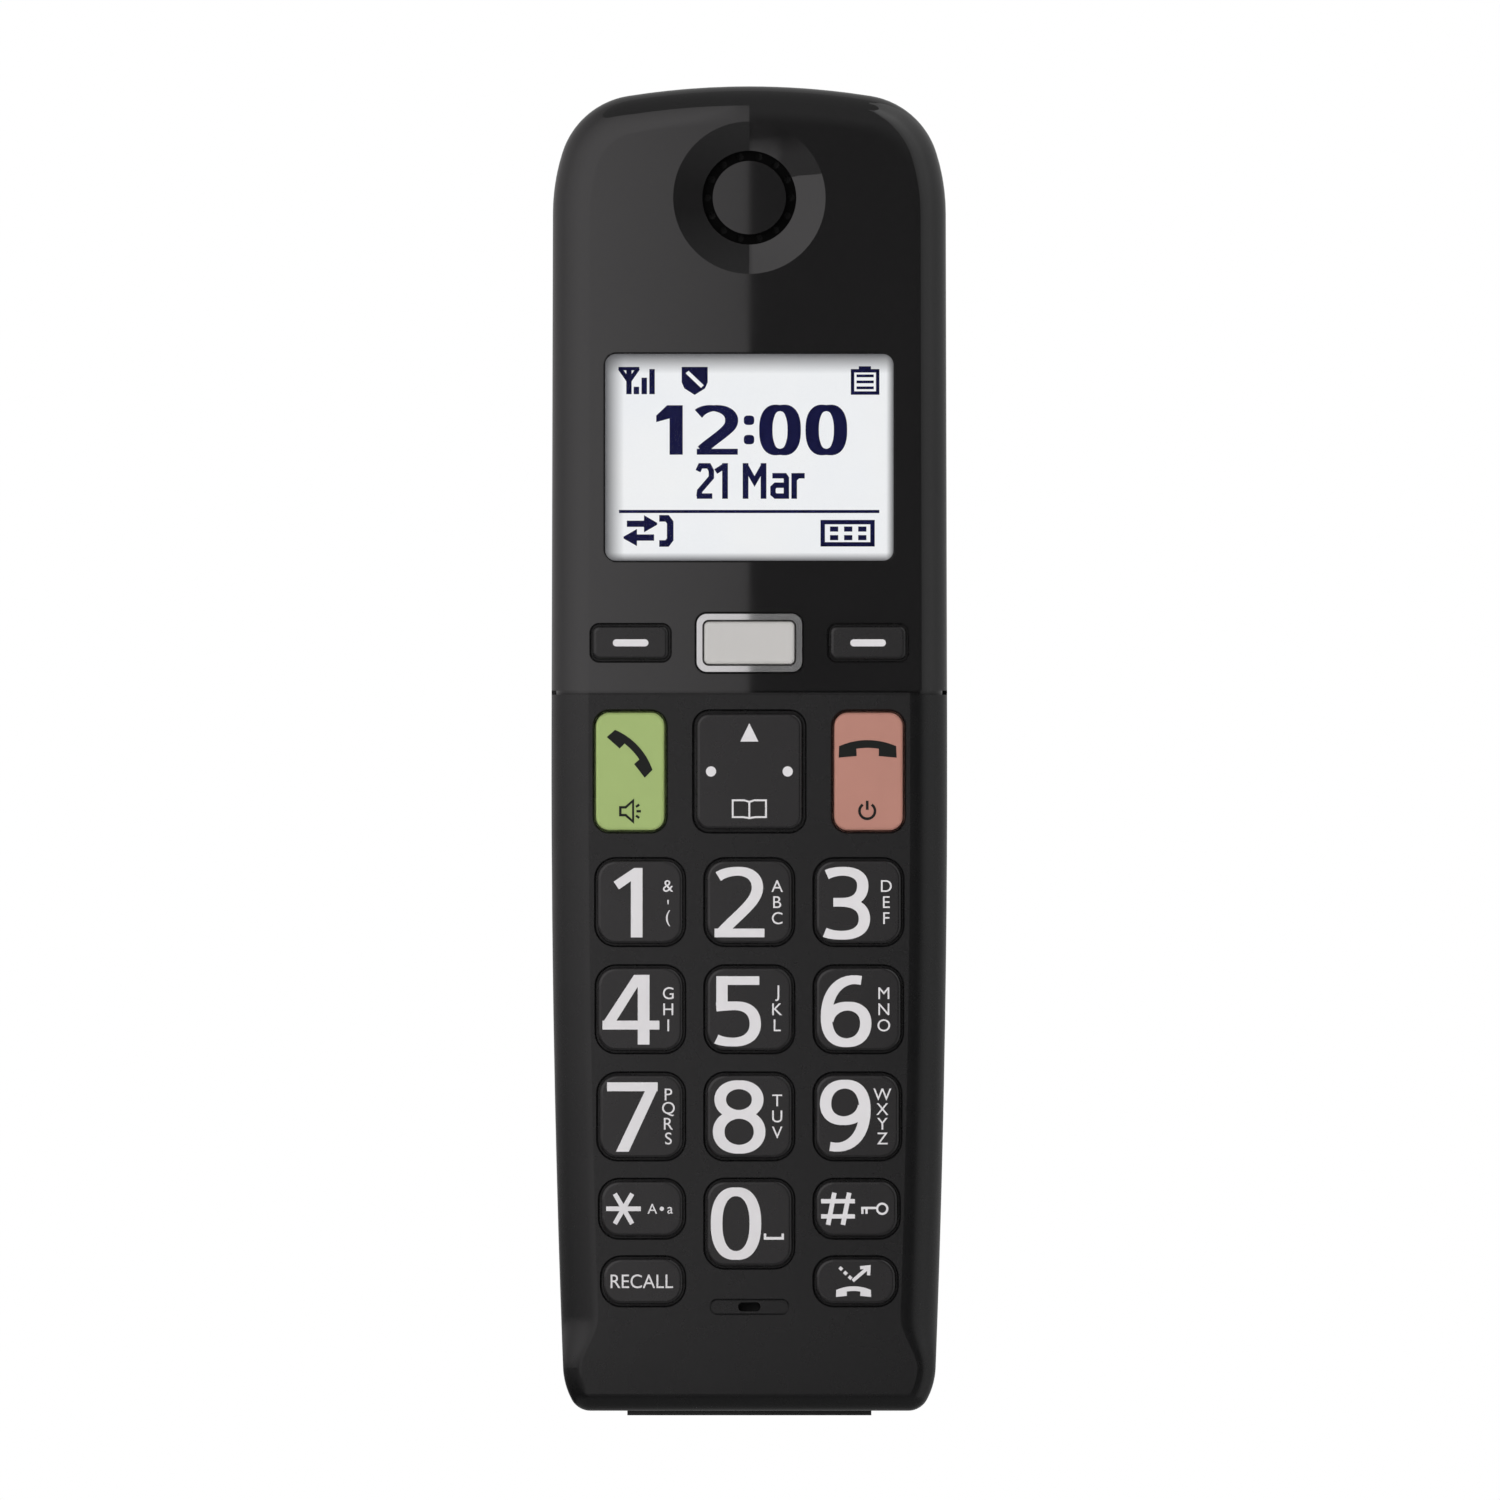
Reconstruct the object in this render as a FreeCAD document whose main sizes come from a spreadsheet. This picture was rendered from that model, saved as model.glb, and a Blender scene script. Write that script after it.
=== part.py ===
import FreeCAD, Part
import math
import os
import Sketcher

# Cordless telephone handset, standing on its foot.
# +Z runs up to the earpiece, -Y is the front with the keys, +X is the right side seen from the front.
# The origin is the middle of the foot, on the surface that the handset stands on. All sizes are in mm.
# A size named "front" or "tip" is the distance of that surface in front of the plane y = 0.

V = FreeCAD.Vector
doc = FreeCAD.newDocument("cordless_handset")

# ---------------------------------------------------------------- driving dimensions

DIMENSIONS = [
    # the case
    ("case_height", 161.2), ("case_front", 13.4), ("case_back", 14.0), ("wall", 1.8),
    ("cover_wall", 1.5),
    ("deck_drop", 1.65), ("deck_thick", 1.4), ("groove_deep", 0.6), ("split_depth", 3.0),
    ("split_groove", 0.3), ("seam_height", 87.65), ("seam_groove", 0.5), ("edge_round", 4.5),
    ("low_round", 2.2), ("back_round", 7.0), ("mouth_bevel", 0.2),
    ("foot_width", 29.6), ("foot_front", 8.8), ("foot_back", 6.2), ("foot_tall", 1.4),
    # the earpiece
    ("ear_height", 147.7), ("dish_radius", 9.25), ("dish_depth", 1.6), ("ear_hole", 5.7),
    ("ear_cap_radius", 4.45), ("ear_cap_front", 12.7), ("ear_plate_radius", 8.4),
    ("ear_plate_thick", 0.6),
    ("sound_ring", 5.07), ("sound_hole", 0.45),
    ("receiver_front", 10.5), ("receiver_deep", 2.2), ("receiver_magnet", 5.2),
    ("gasket_radius", 6.9),
    # the display
    ("display_width", 35.0), ("display_tall", 25.1), ("display_corner", 1.35),
    ("display_height", 116.2),
    ("window_gap", 0.08), ("window_front", 12.9), ("window_lip", 1.3), ("window_lip_back", 10.8),
    ("glass_front", 10.6), ("glass_back", 9.9), ("glass_width", 35.6), ("glass_tall", 26.0),
    ("frame_width", 38.0), ("frame_tall", 28.4), ("frame_gap", 0.1),
    ("ribbon_low", 97.7), ("ribbon_width", 13.0), ("ribbon_tall", 4.2), ("ribbon_thick", 0.15),
    ("socket_width", 14.0), ("socket_tall", 1.6), ("socket_deep", 0.9),
    # the keys: openings in the case, then what a key has behind them
    ("row_pitch", 13.0), ("first_row", 62.25), ("digit_width", 10.8), ("digit_tall", 10.55),
    ("digit_corner", 2.45), ("inner_edge", 7.84),
    ("function_tall", 7.15), ("function_row", 25.05), ("corner_tall", 5.95), ("corner_row", 16.25),
    ("call_width", 8.75), ("call_tall", 14.7), ("call_column", 14.45), ("call_row", 78.1),
    ("call_corner", 1.85),
    ("nav_width", 13.5), ("nav_corner", 1.9),
    ("soft_width", 9.6), ("soft_tall", 4.45), ("soft_column", 14.4), ("soft_row", 93.7),
    ("soft_corner", 1.0),
    ("bezel_width", 12.9), ("bezel_tall", 7.15), ("bezel_corner", 1.3), ("bezel_gap", 0.06),
    ("bezel_front", 13.7),
    ("smart_width", 11.4), ("smart_tall", 5.6), ("smart_corner", 0.8),
    ("key_gap", 0.22), ("nav_gap", 0.34), ("key_front", 13.9), ("nav_front", 14.0),
    ("key_round", 0.4),
    ("lip_front", 11.5), ("smart_lip_front", 11.1), ("nav_lip_front", 10.9), ("lip_thick", 0.5),
    ("lip_reach", 0.75), ("nav_lip_reach", 0.5), ("plunger_radius", 1.5), ("plunger_tip", 10.15),
    ("nav_plunger_radius", 0.9), ("nav_plunger_tip", 9.65), ("nav_reach", 4.5),
    ("pivot_radius", 0.55), ("pivot_front", 9.7), ("pivot_arm", 2.4),
    # the board and what is on it
    ("board_front", 9.0), ("board_back", 8.0), ("board_width", 39.0), ("board_low", 11.5),
    ("board_high", 137.0),
    ("mat_front", 9.7), ("mat_width", 38.4), ("mat_high", 96.6), ("mat_hole", 2.5),
    ("nav_mat_hole", 12.6),
    ("dome_front", 9.3), ("dome_radius", 2.0), ("nav_dome_radius", 1.6), ("chip_back", 6.6),
    ("shield_back", 5.2), ("shield_column", 6.0), ("shield_height", 115.0), ("shield_width", 22.0),
    ("shield_tall", 26.0),
    ("aerial_low", 130.0), ("aerial_width", 30.0), ("aerial_tall", 18.0), ("aerial_edge", 14.0),
    ("aerial_depth", 6.0), ("aerial_thick", 0.4),
    # the battery and its bay
    ("cell_radius", 5.25), ("cell_length", 43.3), ("nub_radius", 1.9), ("nub_length", 1.2),
    ("cell_column", 5.6),
    ("cell_depth", 5.6), ("bay_low", 39.7), ("bay_tall", 47.6), ("bay_width", 22.2),
    ("bay_wall", 1.2),
    ("plate_thick", 0.4), ("plate_side", 8.0), ("spring_length", 2.7), ("coil_wire", 0.3),
    ("coil_pitch", 0.66),
    ("coil_base", 0.36), ("coil_link", 1.98),
    ("cover_width", 36.0), ("cover_tall", 79.0), ("cover_corner", 5.0), ("cover_height", 63.5),
    ("cover_gap", 0.2),
    ("rib_thick", 1.2), ("rib_low", 48.0), ("rib_long", 30.0),
    # screws and posts
    ("upper_screw", 99.3), ("upper_column", 14.5), ("lower_screw", 8.6), ("lower_column", 14.0),
    ("boss_radius", 2.1), ("well_radius", 2.25), ("well_wall", 0.8), ("thread_radius", 1.02),
    ("shank_radius", 1.0),
    ("head_radius", 1.9), ("head_thick", 1.4), ("screw_length", 8.0), ("post_tip", 1.0),
    ("head_seat", 0.6),
    ("slot_radius", 0.8),
    # the loudspeaker at the back, and the microphone
    ("speaker_height", 128.0), ("speaker_radius", 10.0), ("speaker_back", 9.5), ("speaker_deep", 4.4),
    ("speaker_magnet", 6.5), ("magnet_deep", 2.0), ("grille_hole", 0.7), ("foam_hole", 8.0),
    ("mic_height", 13.15), ("mic_radius", 2.0), ("mic_front", 11.0), ("boot_front", 11.3),
    ("boot_wall", 0.6),
    ("mic_slot_width", 9.3), ("mic_slot_tall", 1.6), ("mic_slot_deep", 0.35),
    ("mic_slot_corner", 0.7),
    ("mic_hole_width", 2.7), ("mic_hole_tall", 1.1), ("mic_hole_corner", 0.5),
    # charging contacts
    ("contact_column", 18.2), ("contact_width", 1.4), ("contact_low", 0.85), ("contact_depth", 2.0),
    ("contact_top", 2.95), ("contact_gap", 0.1),
]
sheet = doc.addObject("Spreadsheet::Sheet", "Dimensions")
size = {}
for row, (name, value) in enumerate(DIMENSIONS, 1):
    sheet.set(f"A{row}", name)
    sheet.set(f"B{row}", str(value))
    sheet.setAlias(f"B{row}", name)
    size[name] = value
doc.recompute()

nodes = {}  # label: the object that is written as that sub-part


def cell(text):
    """An expression in the spreadsheet's aliases, from one with the bare names between spaces."""
    return " ".join(f"Dimensions.{word}" if word in size else word for word in str(text).split())


def amount(text):
    """What a sum of names, numbers and products comes to, for the start values of a sketch."""
    total, sign, product, divide = 0.0, 1.0, None, False
    for word in str(text).split() + ["+"]:
        if word in ("+", "-"):
            total += sign * (product or 0.0)
            sign, product = (1.0 if word == "+" else -1.0), None
        elif word in ("*", "/"):
            divide = word == "/"
        else:
            value = size[word] if word in size else float(word)
            if product is None:
                product = value
            else:
                product = product / value if divide else product * value
    return total


def keep(label, thing):
    """Marks an object as a sub-part."""
    thing.Label = label
    nodes[label] = thing
    return thing


def bind(thing, **properties):
    """Ties properties to expressions. at_x, at_y and at_z stand for the position."""
    for name, text in properties.items():
        path = f"Placement.Base.{name[-1]}" if name.startswith("at_") else name
        thing.setExpression(path, cell(text))
    return thing


# ---------------------------------------------------------------- primitives and booleans

def box(name, x, y, z, wide, deep, tall):
    """A box from its low corner and its three lengths."""
    made = doc.addObject("Part::Box", name)
    return bind(made, Length=wide, Width=deep, Height=tall, at_x=x, at_y=y, at_z=z)


def rod(name, x, y, z, radius, length, direction=(0, 1, 0)):
    """A cylinder that starts at a point and runs along a direction."""
    made = doc.addObject("Part::Cylinder", name)
    made.Placement.Rotation = FreeCAD.Rotation(V(0, 0, 1), V(*direction))
    return bind(made, Radius=radius, Height=length, at_x=x, at_y=y, at_z=z)


def cut(name, base, *tools):
    made = doc.addObject("Part::Cut", name)
    made.Base = base
    made.Tool = tools[0] if len(tools) == 1 else group(f"{name}_tools", *tools)
    return made


def common(name, *things):
    made = doc.addObject("Part::MultiCommon", name)
    made.Shapes = list(things)
    return made


def fuse(name, *things):
    made = doc.addObject("Part::MultiFuse", name)
    made.Shapes = list(things)
    made.Refine = True
    return made


def group(name, *things):
    """Separate solids that share one object."""
    made = doc.addObject("Part::Compound", name)
    made.Links = list(things)
    return made


def ring(name, x, y, z, outer_radius, inner_radius, length):
    """A tube along +Y."""
    inside = rod(f"{name}_inside", x, f"{y} - 1", z, inner_radius, f"{length} + 2")
    return cut(name, rod(f"{name}_outside", x, y, z, outer_radius, length), inside)


# ---------------------------------------------------------------- sketched pieces

def front_sketch(body, name, front):
    """A sketch in the body's XZ plane, moved to the given distance in front of it."""
    sketch = body.newObject("Sketcher::SketchObject", name)
    plane = [f for f in body.Origin.OriginFeatures if f.Role == "XZ_Plane"][0]
    sketch.AttachmentSupport = [(plane, "")]
    sketch.MapMode = "FlatFace"
    sketch.setExpression("AttachmentOffset.Base.z", cell(front))
    return sketch


def rounded_rectangle(sketch, wide, tall, corner):
    """Four lines and four arcs about the sketch's origin, with the three sizes bound to the spreadsheet."""
    w, t, r = amount(wide) / 2, amount(tall) / 2, amount(corner)
    sides = [((r - w, t), (w - r, t)), ((w, t - r), (w, r - t)),
             ((w - r, -t), (r - w, -t)), ((-w, r - t), (-w, t - r))]
    centres = [(w - r, t - r), (w - r, r - t), (r - w, r - t), (r - w, t - r)]
    quarter = math.pi / 2
    for side, (first, last) in enumerate(sides):
        sketch.addGeometry(Part.LineSegment(V(*first, 0), V(*last, 0)), False)
        circle = Part.Circle(V(*centres[side], 0), V(0, 0, 1), r)
        sketch.addGeometry(Part.ArcOfCircle(circle, -side * quarter, (1 - side) * quarter), False)
    for side in range(4):
        line, arc, after = 2 * side, 2 * side + 1, (2 * side + 2) % 8
        # an arc runs anticlockwise, so its end meets the line before it and its start meets the line after it
        sketch.addConstraint(Sketcher.Constraint("Tangent", line, 2, arc, 2))
        sketch.addConstraint(Sketcher.Constraint("Tangent", arc, 1, after, 1))
        sketch.addConstraint(Sketcher.Constraint("Horizontal" if side % 2 == 0 else "Vertical", line))
    for arc in (3, 5, 7):
        sketch.addConstraint(Sketcher.Constraint("Equal", 1, arc))
    sketch.addConstraint(Sketcher.Constraint("Symmetric", 1, 3, 5, 3, -1, 1))
    sized = [("wide", Sketcher.Constraint("DistanceX", 6, 1, 2, 1, 2 * w), wide),
             ("tall", Sketcher.Constraint("DistanceY", 4, 1, 0, 1, 2 * t), tall),
             ("corner", Sketcher.Constraint("Radius", 1, r), corner)]
    for name, constraint, text in sized:
        index = sketch.addConstraint(constraint)
        sketch.renameConstraint(index, name)
        sketch.setExpression(f"Constraints.{name}", cell(text))


def circle_at(sketch, x, z, radius):
    """A circle at a signed distance from the sketch's origin. x and z are a sign and an alias, or zero."""
    centre = V(amount(x), amount(z), 0)
    index = sketch.addGeometry(Part.Circle(centre, V(0, 0, 1), amount(radius)), False)
    for kind, axis, text in (("DistanceX", -2, x), ("DistanceY", -1, z)):
        value = amount(text)
        if value == 0:
            sketch.addConstraint(Sketcher.Constraint("PointOnObject", index, 3, axis))
        else:
            first, second = ((-1, 1), (index, 3)) if value > 0 else ((index, 3), (-1, 1))
            placed = sketch.addConstraint(Sketcher.Constraint(kind, *first, *second, abs(value)))
            sketch.setExpression(f"Constraints[{placed}]", cell(text if value > 0 else f"0 {text}"))
    bound = sketch.addConstraint(Sketcher.Constraint("Radius", index, amount(radius)))
    sketch.setExpression(f"Constraints[{bound}]", cell(radius))


def pad(body, name, back, front):
    """Adds a pad between two distances in front of y = 0, and returns its sketch."""
    sketch = front_sketch(body, f"{name}_sketch", back)
    made = body.newObject("PartDesign::Pad", name)
    made.Profile = sketch
    made.setExpression("Length", cell(f"{front} - ( {back} )"))
    return sketch


def new_body(name, x="0", z="0"):
    return bind(doc.addObject("PartDesign::Body", name), at_x=x, at_z=z)


def slab(name, x, z, back, front, wide, tall, corner):
    """A plate with rounded corners between two distances in front of y = 0."""
    body = new_body(name, x, z)
    rounded_rectangle(pad(body, f"{name}_pad", back, front), wide, tall, corner)
    return body


def round_front(body, name, front, radius):
    """Fillets the edges of the body's flat front face."""
    doc.recompute()
    tip = body.Tip
    faces = [f"Face{i}" for i, f in enumerate(tip.Shape.Faces, 1)
             if abs(f.BoundBox.YMin + amount(front)) < 1e-4 and f.BoundBox.YLength < 1e-4]
    made = body.newObject("PartDesign::Fillet", name)
    made.Base = (tip, faces)
    made.setExpression("Radius", cell(radius))
    return made


# ---------------------------------------------------------------- the outer form of the case

def walk(start, heading, steps):
    """Tangent edges in the XZ plane. A step is a line's length, or an arc's radius and turn to the right."""
    x, z = start
    edges = []
    for step in steps:
        a = math.radians(heading)
        if len(step) == 1:
            to = (x + step[0] * math.cos(a), z - step[0] * math.sin(a))
            edges.append(Part.makeLine(V(x, 0, z), V(to[0], 0, to[1])))
        else:
            radius, turn = step
            at = []
            for share in (0.5, 1.0):
                b = math.radians(heading + share * turn)
                across, down = math.sin(b) - math.sin(a), math.cos(a) - math.cos(b)
                at.append(V(x + radius * across, 0, z - radius * down))
            edges.append(Part.Arc(V(x, 0, z), at[0], at[1]).toShape())
            heading += turn
            to = (at[1].x, at[1].z)
        x, z = to
    return edges, (x, z)


def silhouette():
    """The outline seen from the front: a crown, soft shoulders, sides that draw in, tight lower corners."""
    crown, top_corner, shoulder, upper_side = (94.0, 9.0), (10.0, 63.5), (25.0, 17.35), (62.0,)
    lower_side, ankle, low_corner = (1900.0, 2.35), (9.0, 25.8), (2.6, 60.5)
    steps = (crown, top_corner, shoulder, upper_side, lower_side, ankle, low_corner)
    right, (x, z) = walk((0, size["case_height"]), 0, steps)
    right.append(Part.makeLine(V(x, 0, z), V(0, 0, z)))
    left = [edge.mirror(V(0, 0, 0), V(1, 0, 0)) for edge in right]
    return Part.Wire(Part.sortEdges(right + left)[0])


def side_profile():
    """The outline seen from the side: a flat front, a chin that curves away, and a long arc for the back."""
    front, chin_radius, chin_start, below, above = -size["case_front"], 150.0, 12.0, -1.0, 165.0
    back_low, back_high, back_peak = 8.5, 8.8, 84.0
    turn = math.asin((chin_start - below) / chin_radius)

    def chin(angle):
        return V(0, front + chin_radius * (1 - math.cos(angle)), chin_start - chin_radius * math.sin(angle))

    low, high, top = V(0, back_low, below), V(0, back_high, above), V(0, front, above)
    return Part.Wire([
        Part.makeLine(top, chin(0)),
        Part.Arc(chin(0), chin(turn / 2), chin(turn)).toShape(),
        Part.makeLine(chin(turn), low),
        Part.Arc(low, V(0, size["case_back"], back_peak), high).toShape(),
        Part.makeLine(high, top),
    ]), chin_start


def outer_form():
    """Both outlines intersected, with edges that are rounder at the top than at the foot."""
    reach = 40.0
    front = Part.Face(silhouette())
    front.translate(V(0, -reach / 2, 0))
    outline, chin_start = side_profile()
    side = Part.Face(outline)
    side.translate(V(-reach, 0, 0))
    raw = doc.addObject("Part::Feature", "raw_form")
    raw.Shape = front.extrude(V(0, reach, 0)).common(side.extrude(V(2 * reach, 0, 0))).Solids[0]
    low_end, full_from = 6.0, 60.0

    def radius(z, full):
        share = min(1.0, max(0.0, (z - low_end) / (full_from - low_end)))
        return size["low_round"] + (full - size["low_round"]) * share

    chosen = []
    for index, edge in enumerate(raw.Shape.Edges, 1):
        first, last = edge.valueAt(edge.FirstParameter), edge.valueAt(edge.LastParameter)
        chin_line = edge.BoundBox.ZLength < 1e-6 and abs(first.z - chin_start) < 1e-3
        if edge.BoundBox.YLength > 12 or chin_line:
            continue
        full = size["edge_round"] if first.y < 0 else size["back_round"]
        chosen.append((index, radius(first.z, full), radius(last.z, full)))
    form = doc.addObject("Part::Fillet", "outer_form")
    form.Base = raw
    form.Edges = chosen
    return form


def inset_form(name, inset):
    """The outer form moved inwards everywhere by the same distance."""
    form = doc.addObject("Part::Offset", name)
    form.Source = outer
    form.setExpression("Value", cell(f"0 - {inset}"))
    form.Join = 0
    return form


outer = outer_form()
inner = inset_form("inner_form", "wall")
cover_under = inset_form("cover_under_form", "cover_wall")
deck_top = inset_form("deck_top_form", "deck_drop")
groove_floor = inset_form("groove_floor_form", "groove_deep")
doc.recompute()


def space(name, y_low, y_high, z_low, z_high, wide="60"):
    """A box across the whole width, between two depths and two heights."""
    x = f"0 - {wide} / 2"
    return box(name, x, y_low, z_low, wide, f"{y_high} - ( {y_low} )", f"{z_high} - ( {z_low} )")


skin = cut("skin", outer, groove_floor)
split_groove = common("split_groove_cut", skin, space(
    "split_slot", "0 - split_depth - split_groove / 2", "0 - split_depth + split_groove / 2", "-5", "170"))
seam_groove = common("seam_groove_cut", skin, space(
    "seam_slot", "-20", "0 - split_depth", "seam_height - seam_groove / 2", "seam_height + seam_groove / 2"))
shell = cut("whole_shell", outer, inner)

# ---------------------------------------------------------------- keys

# the outer columns follow the case's sides
OUTER_WIDTHS = {"digit": (10.8, 10.75, 10.55), "function": 10.35, "corner": 10.1}


def outer_key(label, side, wide, tall, height):
    """A key of an outer column: its inner edge is in line with the others."""
    return (label, f"{side} * inner_edge + {side * wide / 2}", height, str(wide), tall, "digit_corner")


KEYS = []  # label, x, z, opening width, opening height, corner
for step, (left, middle, right) in enumerate(((1, 2, 3), (4, 5, 6), (7, 8, 9))):
    height = f"first_row - {step} * row_pitch"
    KEYS.append(outer_key(f"key_{left}", -1, OUTER_WIDTHS["digit"][step], "digit_tall", height))
    KEYS.append((f"key_{middle}", "0", height, "digit_width", "digit_tall", "digit_corner"))
    KEYS.append(outer_key(f"key_{right}", 1, OUTER_WIDTHS["digit"][step], "digit_tall", height))
KEYS.append(("key_0", "0", "first_row - 3 * row_pitch", "digit_width", "digit_width", "digit_corner"))
for side, function_key, corner_key, call_key, soft_key in (
    (-1, "key_star", "key_recall", "key_talk", "soft_key_left"),
    (1, "key_hash", "key_call_block", "key_hang_up", "soft_key_right"),
):
    KEYS.append(outer_key(function_key, side, OUTER_WIDTHS["function"], "function_tall", "function_row"))
    KEYS.append(outer_key(corner_key, side, OUTER_WIDTHS["corner"], "corner_tall", "corner_row"))
    KEYS.append((call_key, f"{side} * call_column", "call_row", "call_width", "call_tall", "call_corner"))
    KEYS.append((soft_key, f"{side} * soft_column", "soft_row", "soft_width", "soft_tall", "soft_corner"))
NAV = ("nav_key", "0", "call_row", "nav_width", "call_tall", "nav_corner")
SMART = ("smart_key", "0", "soft_row", "smart_width", "smart_tall", "smart_corner")
BEZEL = ("smart_key_bezel", "0", "soft_row", "bezel_width", "bezel_tall", "bezel_corner")


def opening(key):
    """What is cut out of the case for a key."""
    label, x, z, wide, tall, corner = key
    return slab(f"{label}_opening", x, z, "lip_front - 0.5", "key_front + 2", wide, tall, corner)


def key_cap(key, lip_front="lip_front", front="key_front", gap="key_gap", reach="lip_reach"):
    """A key's lip, which stops behind the case wall, and its cap, which fills the opening."""
    label, x, z, wide, tall, corner = key
    body = new_body(label, x, z)
    lip = pad(body, f"{label}_lip", f"{lip_front} - lip_thick", lip_front)
    rounded_rectangle(lip, f"{wide} + {reach} + {reach}", f"{tall} + {reach} + {reach}", corner)
    cap = pad(body, f"{label}_cap", f"{lip_front} - lip_thick", front)
    rounded_rectangle(cap, f"{wide} - {gap} - {gap}", f"{tall} - {gap} - {gap}", f"{corner} - {gap}")
    return body


def push_key(key, lip_front="lip_front"):
    """A key that is pressed straight in: the cap and a plunger over its contact."""
    label = key[0]
    body = key_cap(key, lip_front)
    plunger = pad(body, f"{label}_plunger", "plunger_tip", f"{lip_front} - lip_thick")
    circle_at(plunger, "0", "0", "plunger_radius")
    round_front(body, f"{label}_round", "key_front", "key_round")
    return keep(label, body)


for key in KEYS:
    push_key(key)
push_key(SMART, "smart_lip_front")

# the navigation key rocks on a pivot, so it has four plungers and more room around it
nav = key_cap(NAV, "nav_lip_front", "nav_front", "nav_gap", "nav_lip_reach")
for name, x, z in (("up", "0", "nav_reach"), ("down", "0", "- nav_reach"),
                   ("right", "nav_reach", "0"), ("left", "- nav_reach", "0")):
    plunger = pad(nav, f"nav_{name}", "nav_plunger_tip", "nav_lip_front - lip_thick")
    circle_at(plunger, x, z, "nav_plunger_radius")
round_front(nav, "nav_round", "nav_front", "key_round")
keep("nav_key", nav)
# a cross of two round pins: its level arm turns in the case, and the key turns on its upright arm
level_arm = rod("nav_level_arm", "0 - pivot_arm", "0 - pivot_front", "call_row", "pivot_radius",
                "2 * pivot_arm", (1, 0, 0))
upright_arm = rod("nav_upright_arm", "0", "0 - pivot_front", "call_row - pivot_arm", "pivot_radius",
                  "2 * pivot_arm", (0, 0, 1))
keep("nav_key_pivot", fuse("nav_cross", level_arm, upright_arm))

bezel = slab("bezel", "0", "soft_row", "smart_lip_front", "bezel_front",
             "bezel_width - bezel_gap - bezel_gap", "bezel_tall - bezel_gap - bezel_gap",
             "bezel_corner - bezel_gap")
bezel_hole = slab("bezel_hole", "0", "soft_row", "smart_lip_front - 1", "bezel_front + 1",
                  "smart_width", "smart_tall", "smart_corner")
keep("smart_key_bezel", cut("smart_bezel", bezel, bezel_hole))

# ---------------------------------------------------------------- front of the case

upper_room = space("upper_room", "-20", "0 - split_depth", "seam_height", "170")
lower_room = space("lower_room", "-20", "0 - split_depth", "-5", "seam_height")
foot_front = box("foot_front_block", "0 - foot_width / 2", "0 - foot_front", "0",
                 "foot_width", "foot_front - split_depth", "foot_tall")
foot_back = box("foot_back_block", "0 - foot_width / 2", "0 - split_depth", "0",
                "foot_width", "foot_back + split_depth", "foot_tall")


def bosses(name, column, height, first, last, radius):
    """A pair of posts along Y, left and right."""
    return [rod(f"{name}_{side}", f"{sign} * {column}", first, height, radius, f"{last} - ( {first} )")
            for side, sign in (("left", -1), ("right", 1))]


dish = doc.addObject("Part::Sphere", "ear_dish")
dish_ball = "( dish_radius * dish_radius + dish_depth * dish_depth ) / ( 2 * dish_depth )"
bind(dish, Radius=dish_ball, at_z="ear_height", at_y=f"0 - case_front + dish_depth - {dish_ball}")
ear_hole = rod("ear_opening", "0", "-15", "ear_height", "ear_hole", "6")
display_hole = slab("display_opening", "0", "display_height", "lip_front - 0.5", "key_front + 2",
                    "display_width", "display_tall", "display_corner")
upper_openings = [opening(key) for key in KEYS if key[0].startswith("soft")] + [opening(BEZEL)]
lower_openings = [opening(key) for key in KEYS if not key[0].startswith("soft")] + [opening(NAV)]
upper_bosses = bosses("upper_boss", "upper_column", "upper_screw", "-12.6", "0 - post_tip", "boss_radius")
upper_pilots = bosses("upper_pilot", "upper_column", "upper_screw", "-10", "0", "thread_radius")
lower_bosses = bosses("lower_boss", "lower_column", "lower_screw", "-12", "0 - post_tip", "boss_radius")
lower_pilots = bosses("lower_pilot", "lower_column", "lower_screw", "-10", "0", "thread_radius")

mic_slot = slab("mic_slot", "0", "mic_height", "case_front - mic_slot_deep", "key_front + 2",
                "mic_slot_width", "mic_slot_tall", "mic_slot_corner")
mic_hole = slab("mic_hole", "0", "mic_height", "lip_front - 0.8", "key_front + 2",
                "mic_hole_width", "mic_hole_tall", "mic_hole_corner")


def bevel_mouths(name, base):
    """Bevels the edges of every hole in the flat front face."""
    doc.recompute()
    chosen = []
    for face in base.Shape.Faces:
        flat = face.BoundBox.YLength < 1e-4 and abs(face.BoundBox.YMin + size["case_front"]) < 1e-4
        if not flat or face.Area < 100:
            continue
        for wire in face.Wires:
            if wire.isSame(face.OuterWire):
                continue
            for edge in wire.Edges:
                chosen += [i for i, other in enumerate(base.Shape.Edges, 1) if other.isSame(edge)]
    made = doc.addObject("Part::Chamfer", name)
    made.Base = base
    made.Edges = [(i, size["mouth_bevel"], size["mouth_bevel"]) for i in sorted(set(chosen))]
    return made


upper_shell = common("upper_shell", shell, upper_room)
upper_solid = fuse("upper_solid", upper_shell, *upper_bosses)
upper_cut = cut("upper_cut", upper_solid, dish, ear_hole, display_hole, split_groove, seam_groove,
                *upper_openings, *upper_pilots)
keep("upper_panel", bevel_mouths("upper_bevel", upper_cut))

lower_shell = common("lower_shell", shell, lower_room)
lower_solid = fuse("lower_solid", lower_shell, foot_front, *lower_bosses)
lower_cut = cut("lower_cut", lower_solid, split_groove, seam_groove, mic_slot, mic_hole,
                *lower_openings, *lower_pilots)
keep("front_case", bevel_mouths("lower_bevel", lower_cut))

# ---------------------------------------------------------------- display and earpiece

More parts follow.
